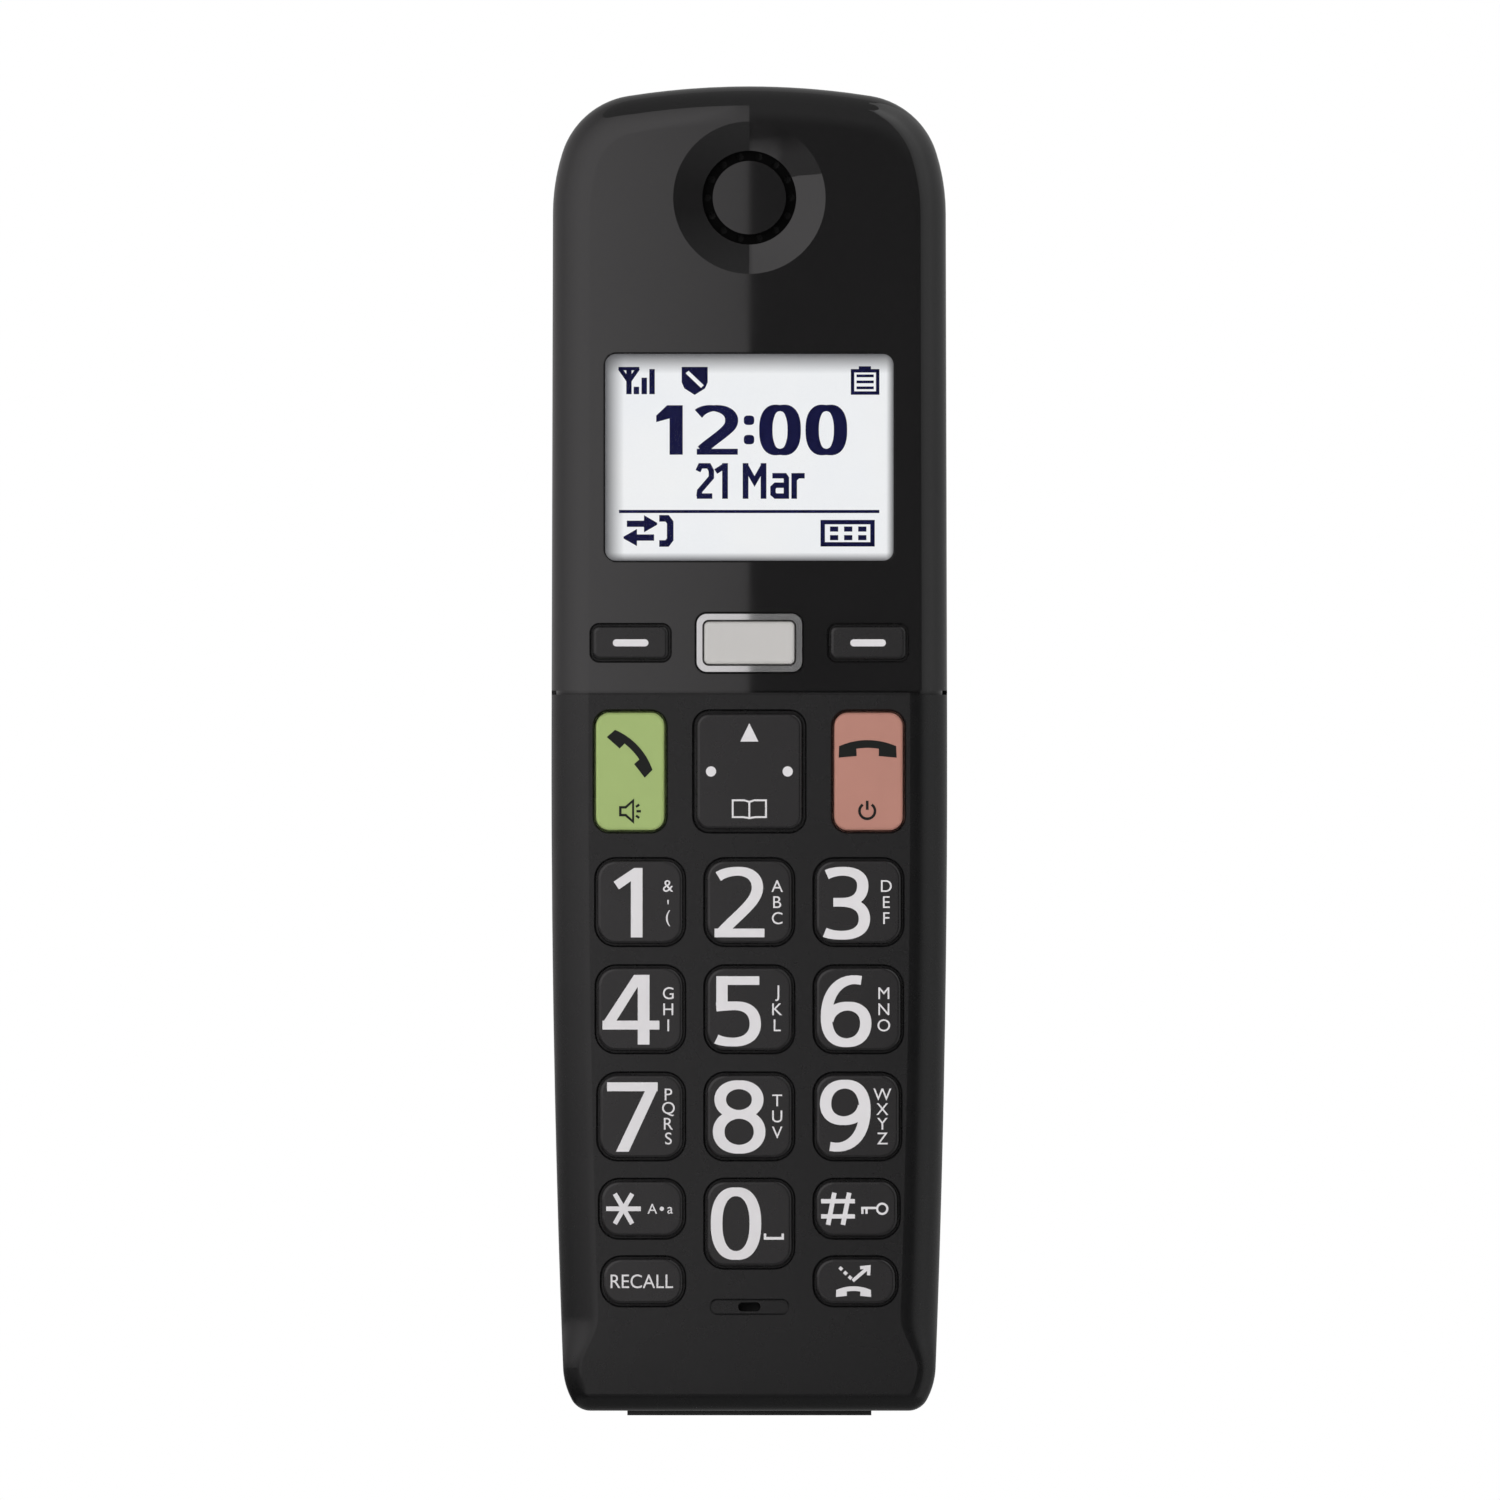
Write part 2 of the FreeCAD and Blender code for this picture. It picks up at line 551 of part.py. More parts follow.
window = new_body("display_window", z="display_height")
rounded_rectangle(pad(window, "window_lip_pad", "window_lip_back", "lip_front"),
                  "display_width + window_lip + window_lip", "display_tall + window_lip + window_lip", "2")
rounded_rectangle(pad(window, "window_pane", "window_lip_back", "window_front"),
                  "display_width - window_gap - window_gap", "display_tall - window_gap - window_gap",
                  "display_corner - window_gap")
keep("display_window", window)

frame_block = slab("frame_block", "0", "display_height", "board_front", "window_lip_back - 0.1",
                   "frame_width", "frame_tall", "1")
frame_hole = slab("frame_hole", "0", "display_height", "board_front - 1", "window_lip_back + 1",
                  "glass_width + frame_gap", "glass_tall + frame_gap", "0.4")
keep("lcd_frame", cut("lcd_frame_cut", frame_block, frame_hole))
for label, back, front in (("lcd_glass", "glass_back", "glass_front"),
                           ("backlight", "board_front", "glass_back")):
    keep(label, slab(label, "0", "display_height", back, front, "glass_width", "glass_tall", "0.3"))
connector = box("ribbon_socket", "0 - socket_width / 2", "0 - board_front - socket_deep", "ribbon_low",
                "socket_width", "socket_deep", "socket_tall")
ribbon = box("ribbon_strip", "0 - ribbon_width / 2", "0 - board_front - ribbon_thick", "ribbon_low",
             "ribbon_width", "ribbon_thick", "ribbon_tall")
keep("lcd_ribbon", fuse("lcd_ribbon_fuse", connector, ribbon))

ear_plate = rod("ear_plate", "0", "0 - lip_front", "ear_height", "ear_plate_radius", "ear_plate_thick")
ear_disc = rod("ear_disc", "0", "0 - ear_cap_front", "ear_height", "ear_cap_radius",
               "ear_cap_front - lip_front")
sound_holes = []
SOUND_HOLES = 14
for i in range(SOUND_HOLES):
    turn = 2 * math.pi * i / SOUND_HOLES
    across, up = f"sound_ring * {math.cos(turn):.5f}", f"sound_ring * {math.sin(turn):.5f}"
    sound_holes.append(rod(f"sound_hole_{i}", across, "-12", f"ear_height + {up}", "sound_hole", "2"))
keep("earpiece_cap", cut("earpiece_cut", fuse("ear_cap_solid", ear_plate, ear_disc), *sound_holes))
keep("earpiece_gasket", ring("ear_gasket", "0", "0 - lip_front + ear_plate_thick", "ear_height",
                             "ear_plate_radius", "gasket_radius",
                             "lip_front - ear_plate_thick - receiver_front"))
receiver_can = rod("receiver_can", "0", "0 - receiver_front", "ear_height", "ear_plate_radius",
                   "receiver_deep")
receiver_magnet = rod("receiver_magnet", "0", "0 - receiver_front + receiver_deep", "ear_height",
                      "receiver_magnet", "1")
keep("earpiece_speaker", fuse("receiver", receiver_can, receiver_magnet))

# ---------------------------------------------------------------- rear of the case

rear_room = space("rear_room", "0 - split_depth", "20", "-5", "170")


def cover_prism(name, first, extra_width, extra_tall, corner):
    """The battery cover's outline, made larger or smaller, from a depth to behind the case."""
    return slab(name, "0", "cover_height", "-20", f"0 - ( {first} )", f"cover_width + {extra_width}",
                f"cover_tall + {extra_tall}", corner)


cover_plate = common("cover_plate", cut("cover_skin", outer, cover_under),
                     cover_prism("cover_outline", "3", "0", "0", "cover_corner"))
GRIPS, grip_top, grip_pitch = 5, 95.4, 2.2
ridge_cuts = [box(f"grip_{i}", "-6", f"case_back - 0.45 + {0.02 * i}", f"{grip_top - grip_pitch * i}",
                  "12", "2", "0.9") for i in range(GRIPS)]
rib = box("cover_rib", "0 - rib_thick / 2", "cell_depth + 3.4", "rib_low", "rib_thick", "4", "rib_long")
rib_inside = common("cover_rib_inside", rib, cover_under)
keep("battery_cover", cut("cover_cut", fuse("cover_solid", cover_plate, rib_inside), *ridge_cuts))

deck_raw = common("deck_raw", deck_top, cover_prism("deck_outline", "3", "3", "3", "cover_corner + 1"))
deck_front = bind(inset_form("deck_front_form", "deck_drop"), at_y="0 - deck_thick")
bay_y = "cell_depth - cell_radius - 0.05"
bay_outer = box("bay_outer", "0 - bay_width / 2 - bay_wall", f"{bay_y} - bay_wall", "bay_low - bay_wall",
                "bay_width + 2 * bay_wall", "20", "bay_tall + 2 * bay_wall")
bay_inner = box("bay_inner", "0 - bay_width / 2", bay_y, "bay_low", "bay_width", "20", "bay_tall")
wells = bosses("upper_well", "upper_column", "upper_screw", "0 - post_tip", "13", "well_radius + well_wall")
wells += bosses("lower_well", "lower_column", "lower_screw", "0 - post_tip", "13", "well_radius + well_wall")
inside_lump = common("inside_lump", fuse("bay_and_wells", bay_outer, *wells), deck_top)
speaker_wall = ring("speaker_wall", "0", "speaker_back - speaker_deep", "speaker_height",
                    "speaker_radius + 1.1", "speaker_radius + 0.1", "12")
speaker_ring = common("speaker_ring", speaker_wall, deck_top)
rear_shell = common("rear_shell", shell, rear_room)
cover_hole = cover_prism("cover_hole", "3", "cover_gap + cover_gap", "cover_gap + cover_gap",
                         "cover_corner + cover_gap")
rear_open = cut("rear_open", rear_shell, cover_hole)
deck = cut("deck", deck_raw, deck_front)
rear_solid = fuse("rear_solid", rear_open, deck, inside_lump, speaker_ring, foot_back)
head_wells = bosses("upper_head_well", "upper_column", "upper_screw", "head_seat", "20", "well_radius")
head_wells += bosses("lower_head_well", "lower_column", "lower_screw", "head_seat", "20", "well_radius")
shank_holes = bosses("upper_shank_hole", "upper_column", "upper_screw", "-3", "5", "shank_radius + 0.15")
shank_holes += bosses("lower_shank_hole", "lower_column", "lower_screw", "-3", "5", "shank_radius + 0.15")
grille = []
grille_pitch = 2.6
for ring_number, count in ((0, 1), (1, 6), (2, 12)):
    for i in range(count):
        angle, reach = 2 * math.pi * i / count, grille_pitch * ring_number
        x, z = reach * math.cos(angle), reach * math.sin(angle)
        grille.append(rod(f"grille_{ring_number}_{i}", f"{x:.4f}", "5", f"speaker_height + {z:.4f}",
                          "grille_hole", "15"))
contact_slots = [box(f"contact_slot_{side}", f"{sign} * contact_column - contact_width / 2 - contact_gap",
                     "0 - contact_gap", "-2", "contact_width + 2 * contact_gap",
                     "2 * contact_depth + 2 * contact_gap", "5")
                 for side, sign in (("left", -1), ("right", 1))]
keep("rear_case", cut("rear_cut", rear_solid, bay_inner, split_groove, *head_wells, *shank_holes, *grille,
                      *contact_slots))

screws = []
for place, column, height in (("upper", "upper_column", "upper_screw"),
                              ("lower", "lower_column", "lower_screw")):
    heads = bosses(f"{place}_head", column, height, "head_seat", "head_seat + head_thick", "head_radius")
    shanks = bosses(f"{place}_shank", column, height, "head_seat - screw_length", "head_seat", "shank_radius")
    slots = bosses(f"{place}_slot", column, height, "head_seat + 0.6", "head_seat + 3", "slot_radius")
    screws += [cut(f"{place}_screw_{i}", fuse(f"{place}_screw_solid_{i}", heads[i], shanks[i]), slots[i])
               for i in range(2)]
keep("case_screws", group("screws", *screws))

# ---------------------------------------------------------------- battery

for side, sign, base in (("left", -1, "bay_low + spring_length"),
                         ("right", 1, "bay_low + plate_thick + nub_length")):
    x, up = f"{sign} * cell_column", (0, 0, 1)
    can = rod(f"cell_can_{side}", x, "cell_depth", base, "cell_radius", "cell_length", up)
    nub_z = f"{base} + cell_length" if side == "left" else f"{base} - nub_length"
    nub = rod(f"cell_nub_{side}", x, "cell_depth", nub_z, "nub_radius", "nub_length", up)
    keep(f"battery_cell_{side}", fuse(f"cell_{side}", can, nub))

springs, plates = [], []
COILS, wide_coil, coil_taper = 4, 3.4, 0.35
for side, sign, low in (("left", -1, True), ("right", 1, False)):
    coils = []
    for i in range(COILS):
        coil = doc.addObject("Part::Torus", f"coil_{side}_{i}")
        offset = f"coil_base + {i} * coil_pitch"
        z = f"bay_low + {offset}" if low else f"bay_low + bay_tall - ( {offset} )"
        bind(coil, Radius1=f"{wide_coil - coil_taper * i}", Radius2="coil_wire")
        bind(coil, at_x=f"{sign} * cell_column", at_y="cell_depth", at_z=z)
        coils.append(coil)
    z = "bay_low + coil_base" if low else "bay_low + bay_tall - coil_base - coil_link"
    link = rod(f"coil_link_{side}", f"{sign} * cell_column + 2.9", "cell_depth", z, "0.55",
               "coil_link", (0, 0, 1))
    springs.append(fuse(f"spring_{side}", *coils, link))
    z = "bay_low + bay_tall - plate_thick" if low else "bay_low"
    plates.append(box(f"plate_{side}", f"{sign} * cell_column - plate_side / 2",
                      "cell_depth - plate_side / 2", z, "plate_side", "plate_side", "plate_thick"))
keep("battery_springs", group("springs", *springs))
keep("battery_contacts", group("contacts", *plates))

# ---------------------------------------------------------------- electronics

board_solid = slab("board_blank", "0", "( board_low + board_high ) / 2", "board_back", "board_front",
                   "board_width", "board_high - board_low", "2.5")
board_holes = bosses("board_hole", "upper_column", "upper_screw", "-12", "-5", "boss_radius + 0.3")
keep("main_pcb", cut("board", board_solid, *board_holes))

mat_solid = slab("mat_blank", "0", "( board_low + 0.3 + mat_high ) / 2", "board_front", "mat_front",
                 "mat_width", "mat_high - board_low - 0.3", "2.2")
mat_holes, domes = [], []
for label, x, z, wide, tall, corner in KEYS + [SMART]:
    mat_holes.append(rod(f"{label}_mat_hole", x, "-12", z, "mat_hole", "5"))
    domes.append(rod(f"{label}_dome", x, "0 - dome_front", z, "dome_radius", "dome_front - board_front"))
for name, x, z in (("up", "0", "call_row + nav_reach"), ("down", "0", "call_row - nav_reach"),
                   ("right", "nav_reach", "call_row"), ("left", "0 - nav_reach", "call_row")):
    domes.append(rod(f"nav_dome_{name}", x, "0 - dome_front", z, "nav_dome_radius",
                     "dome_front - board_front"))
mat_holes.append(slab("nav_mat_opening", "0", "call_row", "board_front - 1", "mat_front + 1",
                      "nav_mat_hole", "nav_mat_hole", "3"))
mat_holes.append(rod("mic_mat_hole", "0", "-12", "mic_height", "mic_radius + boot_wall + 0.1", "5"))
keep("keypad_mat", cut("mat", mat_solid, *mat_holes))
keep("contact_domes", group("domes", *domes))

keep("rf_shield", slab("shield", "0 - shield_column", "shield_height", "shield_back", "board_back",
                       "shield_width", "shield_tall", "1"))
chip_boxes = [box("processor", "-7", "0 - board_back", "84", "9", "board_back - chip_back", "9"),
              box("memory", "6", "0 - board_back", "84", "6", "board_back - chip_back", "8"),
              box("charger", "-13", "0 - board_back", "30", "5", "board_back - chip_back", "5"),
              box("crystal", "10", "0 - board_back", "110", "5", "board_back - chip_back", "3")]
keep("board_chips", group("chips", *chip_boxes))

aerial_plate = box("aerial_plate", "0 - aerial_edge", "0 - aerial_depth", "aerial_low",
                   "aerial_width", "aerial_thick", "aerial_tall")
aerial_slot = box("aerial_slot", "0 - aerial_edge + 6", "0 - aerial_depth - 1",
                  "aerial_low + aerial_tall / 2", "aerial_width", "3", "3")
aerial_legs = [box(f"aerial_leg_{i}", x, "0 - board_back", "aerial_low + 1", "1.2",
                   "board_back - aerial_depth + 0.2", "4")
               for i, x in enumerate(("0 - aerial_edge + 1", "0 - aerial_edge + aerial_width - 5"))]
keep("antenna", fuse("aerial", cut("aerial_cut", aerial_plate, aerial_slot), *aerial_legs))

keep("microphone", rod("mic", "0", "0 - mic_front", "mic_height", "mic_radius", "mic_front - board_front"))
keep("microphone_boot", ring("mic_boot", "0", "0 - boot_front", "mic_height", "mic_radius + boot_wall",
                             "mic_radius", "boot_front - board_front"))

speaker_can = rod("speaker_can", "0", "speaker_back - speaker_deep + magnet_deep", "speaker_height",
                  "speaker_radius", "speaker_deep - magnet_deep")
speaker_magnet = rod("speaker_magnet", "0", "speaker_back - speaker_deep", "speaker_height", "speaker_magnet",
                     "magnet_deep")
keep("rear_speaker", fuse("loudspeaker", speaker_can, speaker_magnet))
foam = ring("foam", "0", "speaker_back", "speaker_height", "speaker_radius", "foam_hole", "8")
keep("rear_speaker_gasket", common("foam_ring", foam, inner))

pins = []
for side, sign in (("left", -1), ("right", 1)):
    x = f"{sign} * contact_column - contact_width / 2"
    pad_block = box(f"contact_pad_{side}", x, "0", "contact_low", "contact_width", "2 * contact_depth",
                    "contact_top - contact_low")
    rise = box(f"contact_rise_{side}", x, "-0.6", "contact_top - 0.45", "contact_width", "0.8", "11")
    arm = box(f"contact_arm_{side}", x, "0 - board_back", "13", "contact_width", "board_back + 0.2", "0.5")
    pins.append(fuse(f"contact_{side}", pad_block, rise, arm))
keep("charge_contacts", group("pins", *pins))

# ---------------------------------------------------------------- check and write

doc.recompute()
for thing in doc.Objects:
    if "Invalid" in thing.State or "Error" in thing.State:
        raise RuntimeError(f"{thing.Name} ({thing.Label}) has state {thing.State}")
for label, thing in nodes.items():
    if thing.Shape.isNull() or not thing.Shape.isValid() or not thing.Shape.Solids:
        raise RuntimeError(f"{label} has no valid solid")

os.makedirs("parts", exist_ok=True)
for label, thing in nodes.items():
    thing.Shape.exportStep(f"parts/{label}.step")
print(len(nodes), "sub-parts")
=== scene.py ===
import math

import bpy
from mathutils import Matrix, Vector
from mathutils.geometry import delaunay_2d_cdt


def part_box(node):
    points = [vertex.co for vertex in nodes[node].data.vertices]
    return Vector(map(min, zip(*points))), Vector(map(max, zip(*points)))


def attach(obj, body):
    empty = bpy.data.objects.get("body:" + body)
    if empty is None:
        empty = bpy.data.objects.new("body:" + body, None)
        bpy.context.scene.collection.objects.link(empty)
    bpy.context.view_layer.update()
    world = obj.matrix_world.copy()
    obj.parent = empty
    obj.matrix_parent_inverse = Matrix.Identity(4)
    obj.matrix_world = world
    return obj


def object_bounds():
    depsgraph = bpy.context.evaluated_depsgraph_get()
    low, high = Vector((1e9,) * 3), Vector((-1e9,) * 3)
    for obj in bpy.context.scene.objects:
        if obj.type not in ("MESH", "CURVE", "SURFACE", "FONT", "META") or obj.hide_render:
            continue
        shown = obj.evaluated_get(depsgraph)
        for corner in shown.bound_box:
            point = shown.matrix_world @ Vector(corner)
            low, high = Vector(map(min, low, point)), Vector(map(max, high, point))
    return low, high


# The looks of a cordless telephone handset: materials for every CAD node, the printing on the keys,
# the picture on the display, and the studio around it. Lengths are in metres unless a name says mm.

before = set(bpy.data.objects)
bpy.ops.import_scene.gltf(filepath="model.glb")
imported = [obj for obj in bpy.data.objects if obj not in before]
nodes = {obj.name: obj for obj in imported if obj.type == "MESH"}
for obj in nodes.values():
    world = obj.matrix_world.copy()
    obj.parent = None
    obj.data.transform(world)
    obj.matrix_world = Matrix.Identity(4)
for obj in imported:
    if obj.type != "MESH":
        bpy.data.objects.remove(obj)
cad_low, cad_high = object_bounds()
MM, MICRON = 0.001, 0.000001


# ---------------------------------------------------------------- materials

COLOURS = {
    "gloss": (0.0083, 0.0081, 0.0083), "case": (0.0042, 0.0042, 0.0044), "key": (0.008, 0.0074, 0.0078),
    "soft_key": (0.0066, 0.0063, 0.0066), "green": (0.33, 0.44, 0.15), "red": (0.44, 0.205, 0.158),
    "silver": (0.53, 0.522, 0.505), "print": (0.7, 0.69, 0.7), "dark_print": (0.004, 0.005, 0.004),
    "lcd_ink": (0.008, 0.009, 0.062),
}

# The painted shade in the slot round the ear disc begins, and is complete, this far behind the disc's face.
SLOT_SHADE_START, SLOT_SHADE_FULL = 0.2 * MM, 0.5 * MM
# How much of the display window lies behind the edge of its opening.
WINDOW_LIP = 1.3 * MM
# How wide the shadow inside the display's frame is at each side.
SHADOW_LEFT, SHADOW_RIGHT, SHADOW_BOTTOM, SHADOW_TOP = 2.3 * MM, 0.9 * MM, 1.0 * MM, 2.4 * MM


class Shader:
    """A Principled material. Its colour, roughness and bump come from noise in the object's own space."""

    def __init__(self, name, **sockets):
        self.material = bpy.data.materials.new(name)
        self.material.use_nodes = True
        self.tree = self.material.node_tree
        self.shader = self.tree.nodes["Principled BSDF"]
        self.space = self.add("ShaderNodeTexCoord").outputs["Object"]
        for socket, value in sockets.items():
            self.put(socket.replace("_", " "), value)

    def add(self, kind, **settings):
        node = self.tree.nodes.new(kind)
        for name, value in settings.items():
            setattr(node, name, value)
        return node

    def link(self, source, target):
        self.tree.links.new(source, target)

    def put(self, socket, value):
        self.shader.inputs[socket].default_value = value

    def noise(self, scale, detail=2.0, stretch=None):
        """Noise between 0 and 1. scale is in cells per metre, and stretch squeezes it along X, Y and Z."""
        node = self.add("ShaderNodeTexNoise")
        node.inputs["Scale"].default_value = scale
        node.inputs["Detail"].default_value = detail
        source = self.space
        if stretch:
            mapping = self.add("ShaderNodeMapping")
            mapping.inputs["Scale"].default_value = stretch
            self.link(source, mapping.inputs["Vector"])
            source = mapping.outputs["Vector"]
        self.link(source, node.inputs["Vector"])
        return node.outputs["Fac"]

    def between(self, factor, low, high, start=0.3, end=0.7):
        """A number that runs from low to high as the factor runs from start to end."""
        node = self.add("ShaderNodeMapRange")
        for name, value in (("From Min", start), ("From Max", end), ("To Min", low), ("To Max", high)):
            node.inputs[name].default_value = value
        self.link(factor, node.inputs["Value"])
        return node.outputs["Result"]

    def colours(self, factor, *stops):
        """A colour ramp over the factor, sent to the base colour. A stop is a place and a colour."""
        ramp = self.add("ShaderNodeValToRGB").color_ramp
        for i, (place, colour) in enumerate(stops):
            stop = ramp.elements[i] if i < 2 else ramp.elements.new(place)
            stop.position = place
            stop.color = (*colour, 1)
        node = self.tree.nodes[-1]
        self.link(factor, node.inputs["Fac"])
        self.link(node.outputs["Color"], self.shader.inputs["Base Color"])

    def roughness(self, factor, low, high):
        self.link(self.between(factor, low, high), self.shader.inputs["Roughness"])

    def bump(self, height, depth):
        """Surface relief. depth is its real height in metres."""
        node = self.add("ShaderNodeBump")
        node.inputs["Strength"].default_value = 1.0
        node.inputs["Distance"].default_value = depth
        self.link(height, node.inputs["Height"])
        self.link(node.outputs["Normal"], self.shader.inputs["Normal"])


def shade(colour, factor):
    return tuple(min(1.0, c * factor) for c in colour)


def moulded(name, colour, low, high, grain=0.0, grain_scale=4500.0, contrast=0.12, specular=0.5):
    """Moulded plastic: a little uneven in colour and gloss, and with a fine grain where grain isn't zero."""
    made = Shader(name, Specular_IOR_Level=specular)
    cloud = made.noise(90.0, 3.0)
    made.colours(cloud, (0.25, shade(colour, 1 - contrast)), (0.75, shade(colour, 1 + contrast)))
    made.roughness(made.noise(260.0, 4.0), low, high)
    if grain:
        made.bump(made.noise(grain_scale, 2.0), grain)
    return made.material


def metal(name, colour, low, high, stretch=None, scale=1500.0, depth=0.0, metallic=1.0):
    """Metal with fine marks that run along one direction where stretch says so."""
    made = Shader(name, Metallic=metallic)
    marks = made.noise(scale, 4.0, stretch)
    made.colours(marks, (0.2, shade(colour, 0.86)), (0.8, shade(colour, 1.06)))
    made.roughness(marks, low, high)
    if depth:
        made.bump(marks, depth)
    return made.material


def earpiece_gloss_slot_shade():
    """The ear disc: polished on its face, and dull down in the sound slot around it, where a painted shade
    darkens its colour to near black.
    """
    made = Shader("earpiece_gloss_slot_shade", Specular_IOR_Level=0.5)
    split = made.add("ShaderNodeSeparateXYZ")
    made.link(made.space, split.inputs[0])
    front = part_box("earpiece_cap")[0].y
    # painted shade: the deeper a point lies in the sound slot, the nearer its colour is to black
    slot_shade = made.between(split.outputs["Y"], 0.0, 1.0, front + SLOT_SHADE_START, front + SLOT_SHADE_FULL)
    cloud = made.between(made.noise(400.0, 3.0), 0.0, 0.12)
    both = made.add("ShaderNodeMath", operation="SUBTRACT")
    made.link(slot_shade, both.inputs[0])
    made.link(cloud, both.inputs[1])
    # the colour ramp paints the slot's shade, from the panel's black gloss to near black
    made.colours(both.outputs[0], (0.0, COLOURS["gloss"]), (0.9, (0.001, 0.001, 0.001)))
    made.link(made.between(slot_shade, 0.02, 0.8, 0.0, 1.0), made.shader.inputs["Roughness"])
    made.link(made.between(slot_shade, 0.5, 0.1, 0.0, 1.0), made.shader.inputs["Specular IOR Level"])
    return made.material


def clear_pane():
    """The clear window: it has an anti-glare face, so it bends and reflects very little."""
    made = Shader("clear_pane", Transmission_Weight=1.0, IOR=1.07)
    haze = made.noise(120.0, 2.0)
    made.colours(haze, (0.2, (0.97, 0.98, 1.0)), (0.8, (1.0, 1.0, 1.0)))
    made.roughness(haze, 0.0, 0.012)
    return made.material


def lit_panel(low, high):
    """The lit display: even in the middle, with a soft shadow inside its frame."""
    made = Shader("lit_panel", Roughness=0.6)
    split = made.add("ShaderNodeSeparateXYZ")
    made.link(made.space, split.inputs[0])
    glow = made.between(made.noise(3200.0, 1.0), 0.985, 1.0)
    for axis, edge, fade in (("X", low.x, SHADOW_LEFT), ("X", high.x, -SHADOW_RIGHT),
                             ("Z", low.z, SHADOW_BOTTOM), ("Z", high.z, -SHADOW_TOP)):
        side = made.between(split.outputs[axis], 0.0, 1.0, edge, edge + fade)
        both = made.add("ShaderNodeMath", operation="MULTIPLY")
        made.link(glow, both.inputs[0])
        made.link(side, both.inputs[1])
        glow = both.outputs[0]
    ramp = made.add("ShaderNodeValToRGB")
    ramp.color_ramp.elements[0].color = (0.1, 0.1, 0.105, 1)
    ramp.color_ramp.elements[1].color = (0.86, 0.87, 0.875, 1)
    made.link(glow, ramp.inputs["Fac"])
    made.link(ramp.outputs["Color"], made.shader.inputs["Emission Color"])
    made.put("Emission Strength", 0.96)
    made.put("Base Color", (0.03, 0.03, 0.032, 1))
    return made.material


def cell_sleeve():
    """The battery's printed sleeve: a dark band, a light band at the positive end, and a bare metal rim."""
    made = Shader("cell_sleeve", Metallic=0.5, Roughness=0.35)
    split = made.add("ShaderNodeSeparateXYZ")
    made.link(made.space, split.inputs[0])
    low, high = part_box("battery_cell_left")
    made.colours(made.between(split.outputs["Z"], 0.0, 1.0, low.z, high.z),
                 (0.0, (0.5, 0.5, 0.5)), (0.03, (0.02, 0.05, 0.16)), (0.72, (0.03, 0.07, 0.2)),
                 (0.75, (0.55, 0.42, 0.12)), (0.95, (0.6, 0.47, 0.16)), (0.97, (0.6, 0.6, 0.6)))
    made.bump(made.noise(700.0), 10 * MICRON)
    return made.material


def build_materials():
    lit_low, lit_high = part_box("lcd_glass")
    window_low, window_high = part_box("display_window")
    inset = Vector((WINDOW_LIP, 0, WINDOW_LIP))
    return {
        "gloss": moulded("gloss_black", COLOURS["gloss"], 0.018, 0.024, contrast=0.06),
        "case": moulded("matte_black", COLOURS["case"], 0.25, 0.29, grain=2 * MICRON, contrast=0.08,
                        specular=0.41),
        "key": moulded("key_black", COLOURS["key"], 0.24, 0.3, grain=MICRON, contrast=0.08),
        "soft_key": moulded("soft_key_black", COLOURS["soft_key"], 0.24, 0.3, grain=MICRON),
        "green": moulded("key_green", COLOURS["green"], 0.38, 0.5, grain=6 * MICRON, contrast=0.04),
        "red": moulded("key_red", COLOURS["red"], 0.38, 0.5, grain=6 * MICRON, contrast=0.04),
        "silver": moulded("key_silver", COLOURS["silver"], 0.3, 0.4, grain=3 * MICRON, grain_scale=9000,
                          contrast=0.03),
        "print": moulded("key_print", COLOURS["print"], 0.5, 0.6, contrast=0.03, specular=0.3),
        "dark_print": moulded("dark_print", COLOURS["dark_print"], 0.4, 0.5, contrast=0.1, specular=0.3),
        "lcd_ink": moulded("lcd_ink", COLOURS["lcd_ink"], 0.6, 0.7, contrast=0.1, specular=0.1),
        "white_plastic": moulded("white_plastic", (0.72, 0.72, 0.7), 0.4, 0.5, grain=10 * MICRON),
        "film": moulded("film_amber", (0.45, 0.2, 0.035), 0.2, 0.35, contrast=0.2),
        "foam": moulded("foam_black", (0.012, 0.012, 0.012), 0.8, 0.95, grain=80 * MICRON, grain_scale=2500),
        "silicone": moulded("silicone_grey", (0.22, 0.22, 0.23), 0.55, 0.65, grain=10 * MICRON),
        "chip": moulded("chip_black", (0.015, 0.015, 0.016), 0.4, 0.55, grain=10 * MICRON),
        "board": moulded("solder_mask", (0.01, 0.11, 0.035), 0.25, 0.4, contrast=0.35),
        "chrome": metal("chrome", (0.57, 0.57, 0.575), 0.015, 0.025, scale=200.0, metallic=0.82),
        "steel": metal("steel", (0.55, 0.55, 0.55), 0.25, 0.4, (1, 1, 14), 900.0, 4 * MICRON),
        "nickel": metal("nickel", (0.62, 0.58, 0.5), 0.18, 0.34, (1, 12, 1), 900.0, 4 * MICRON),
        "tin": metal("tin", (0.58, 0.58, 0.57), 0.3, 0.45, (10, 1, 1), 500.0, 6 * MICRON),
        "brass": metal("brass", (0.72, 0.52, 0.22), 0.25, 0.4, (8, 1, 1), 700.0, 4 * MICRON),
        "ear": earpiece_gloss_slot_shade(),
        "sleeve": cell_sleeve(),
        "pane": clear_pane(),
        "panel": lit_panel(Vector((window_low.x, lit_low.y, window_low.z)) + inset,
                           Vector((window_high.x, lit_high.y, window_high.z)) - inset),
    }


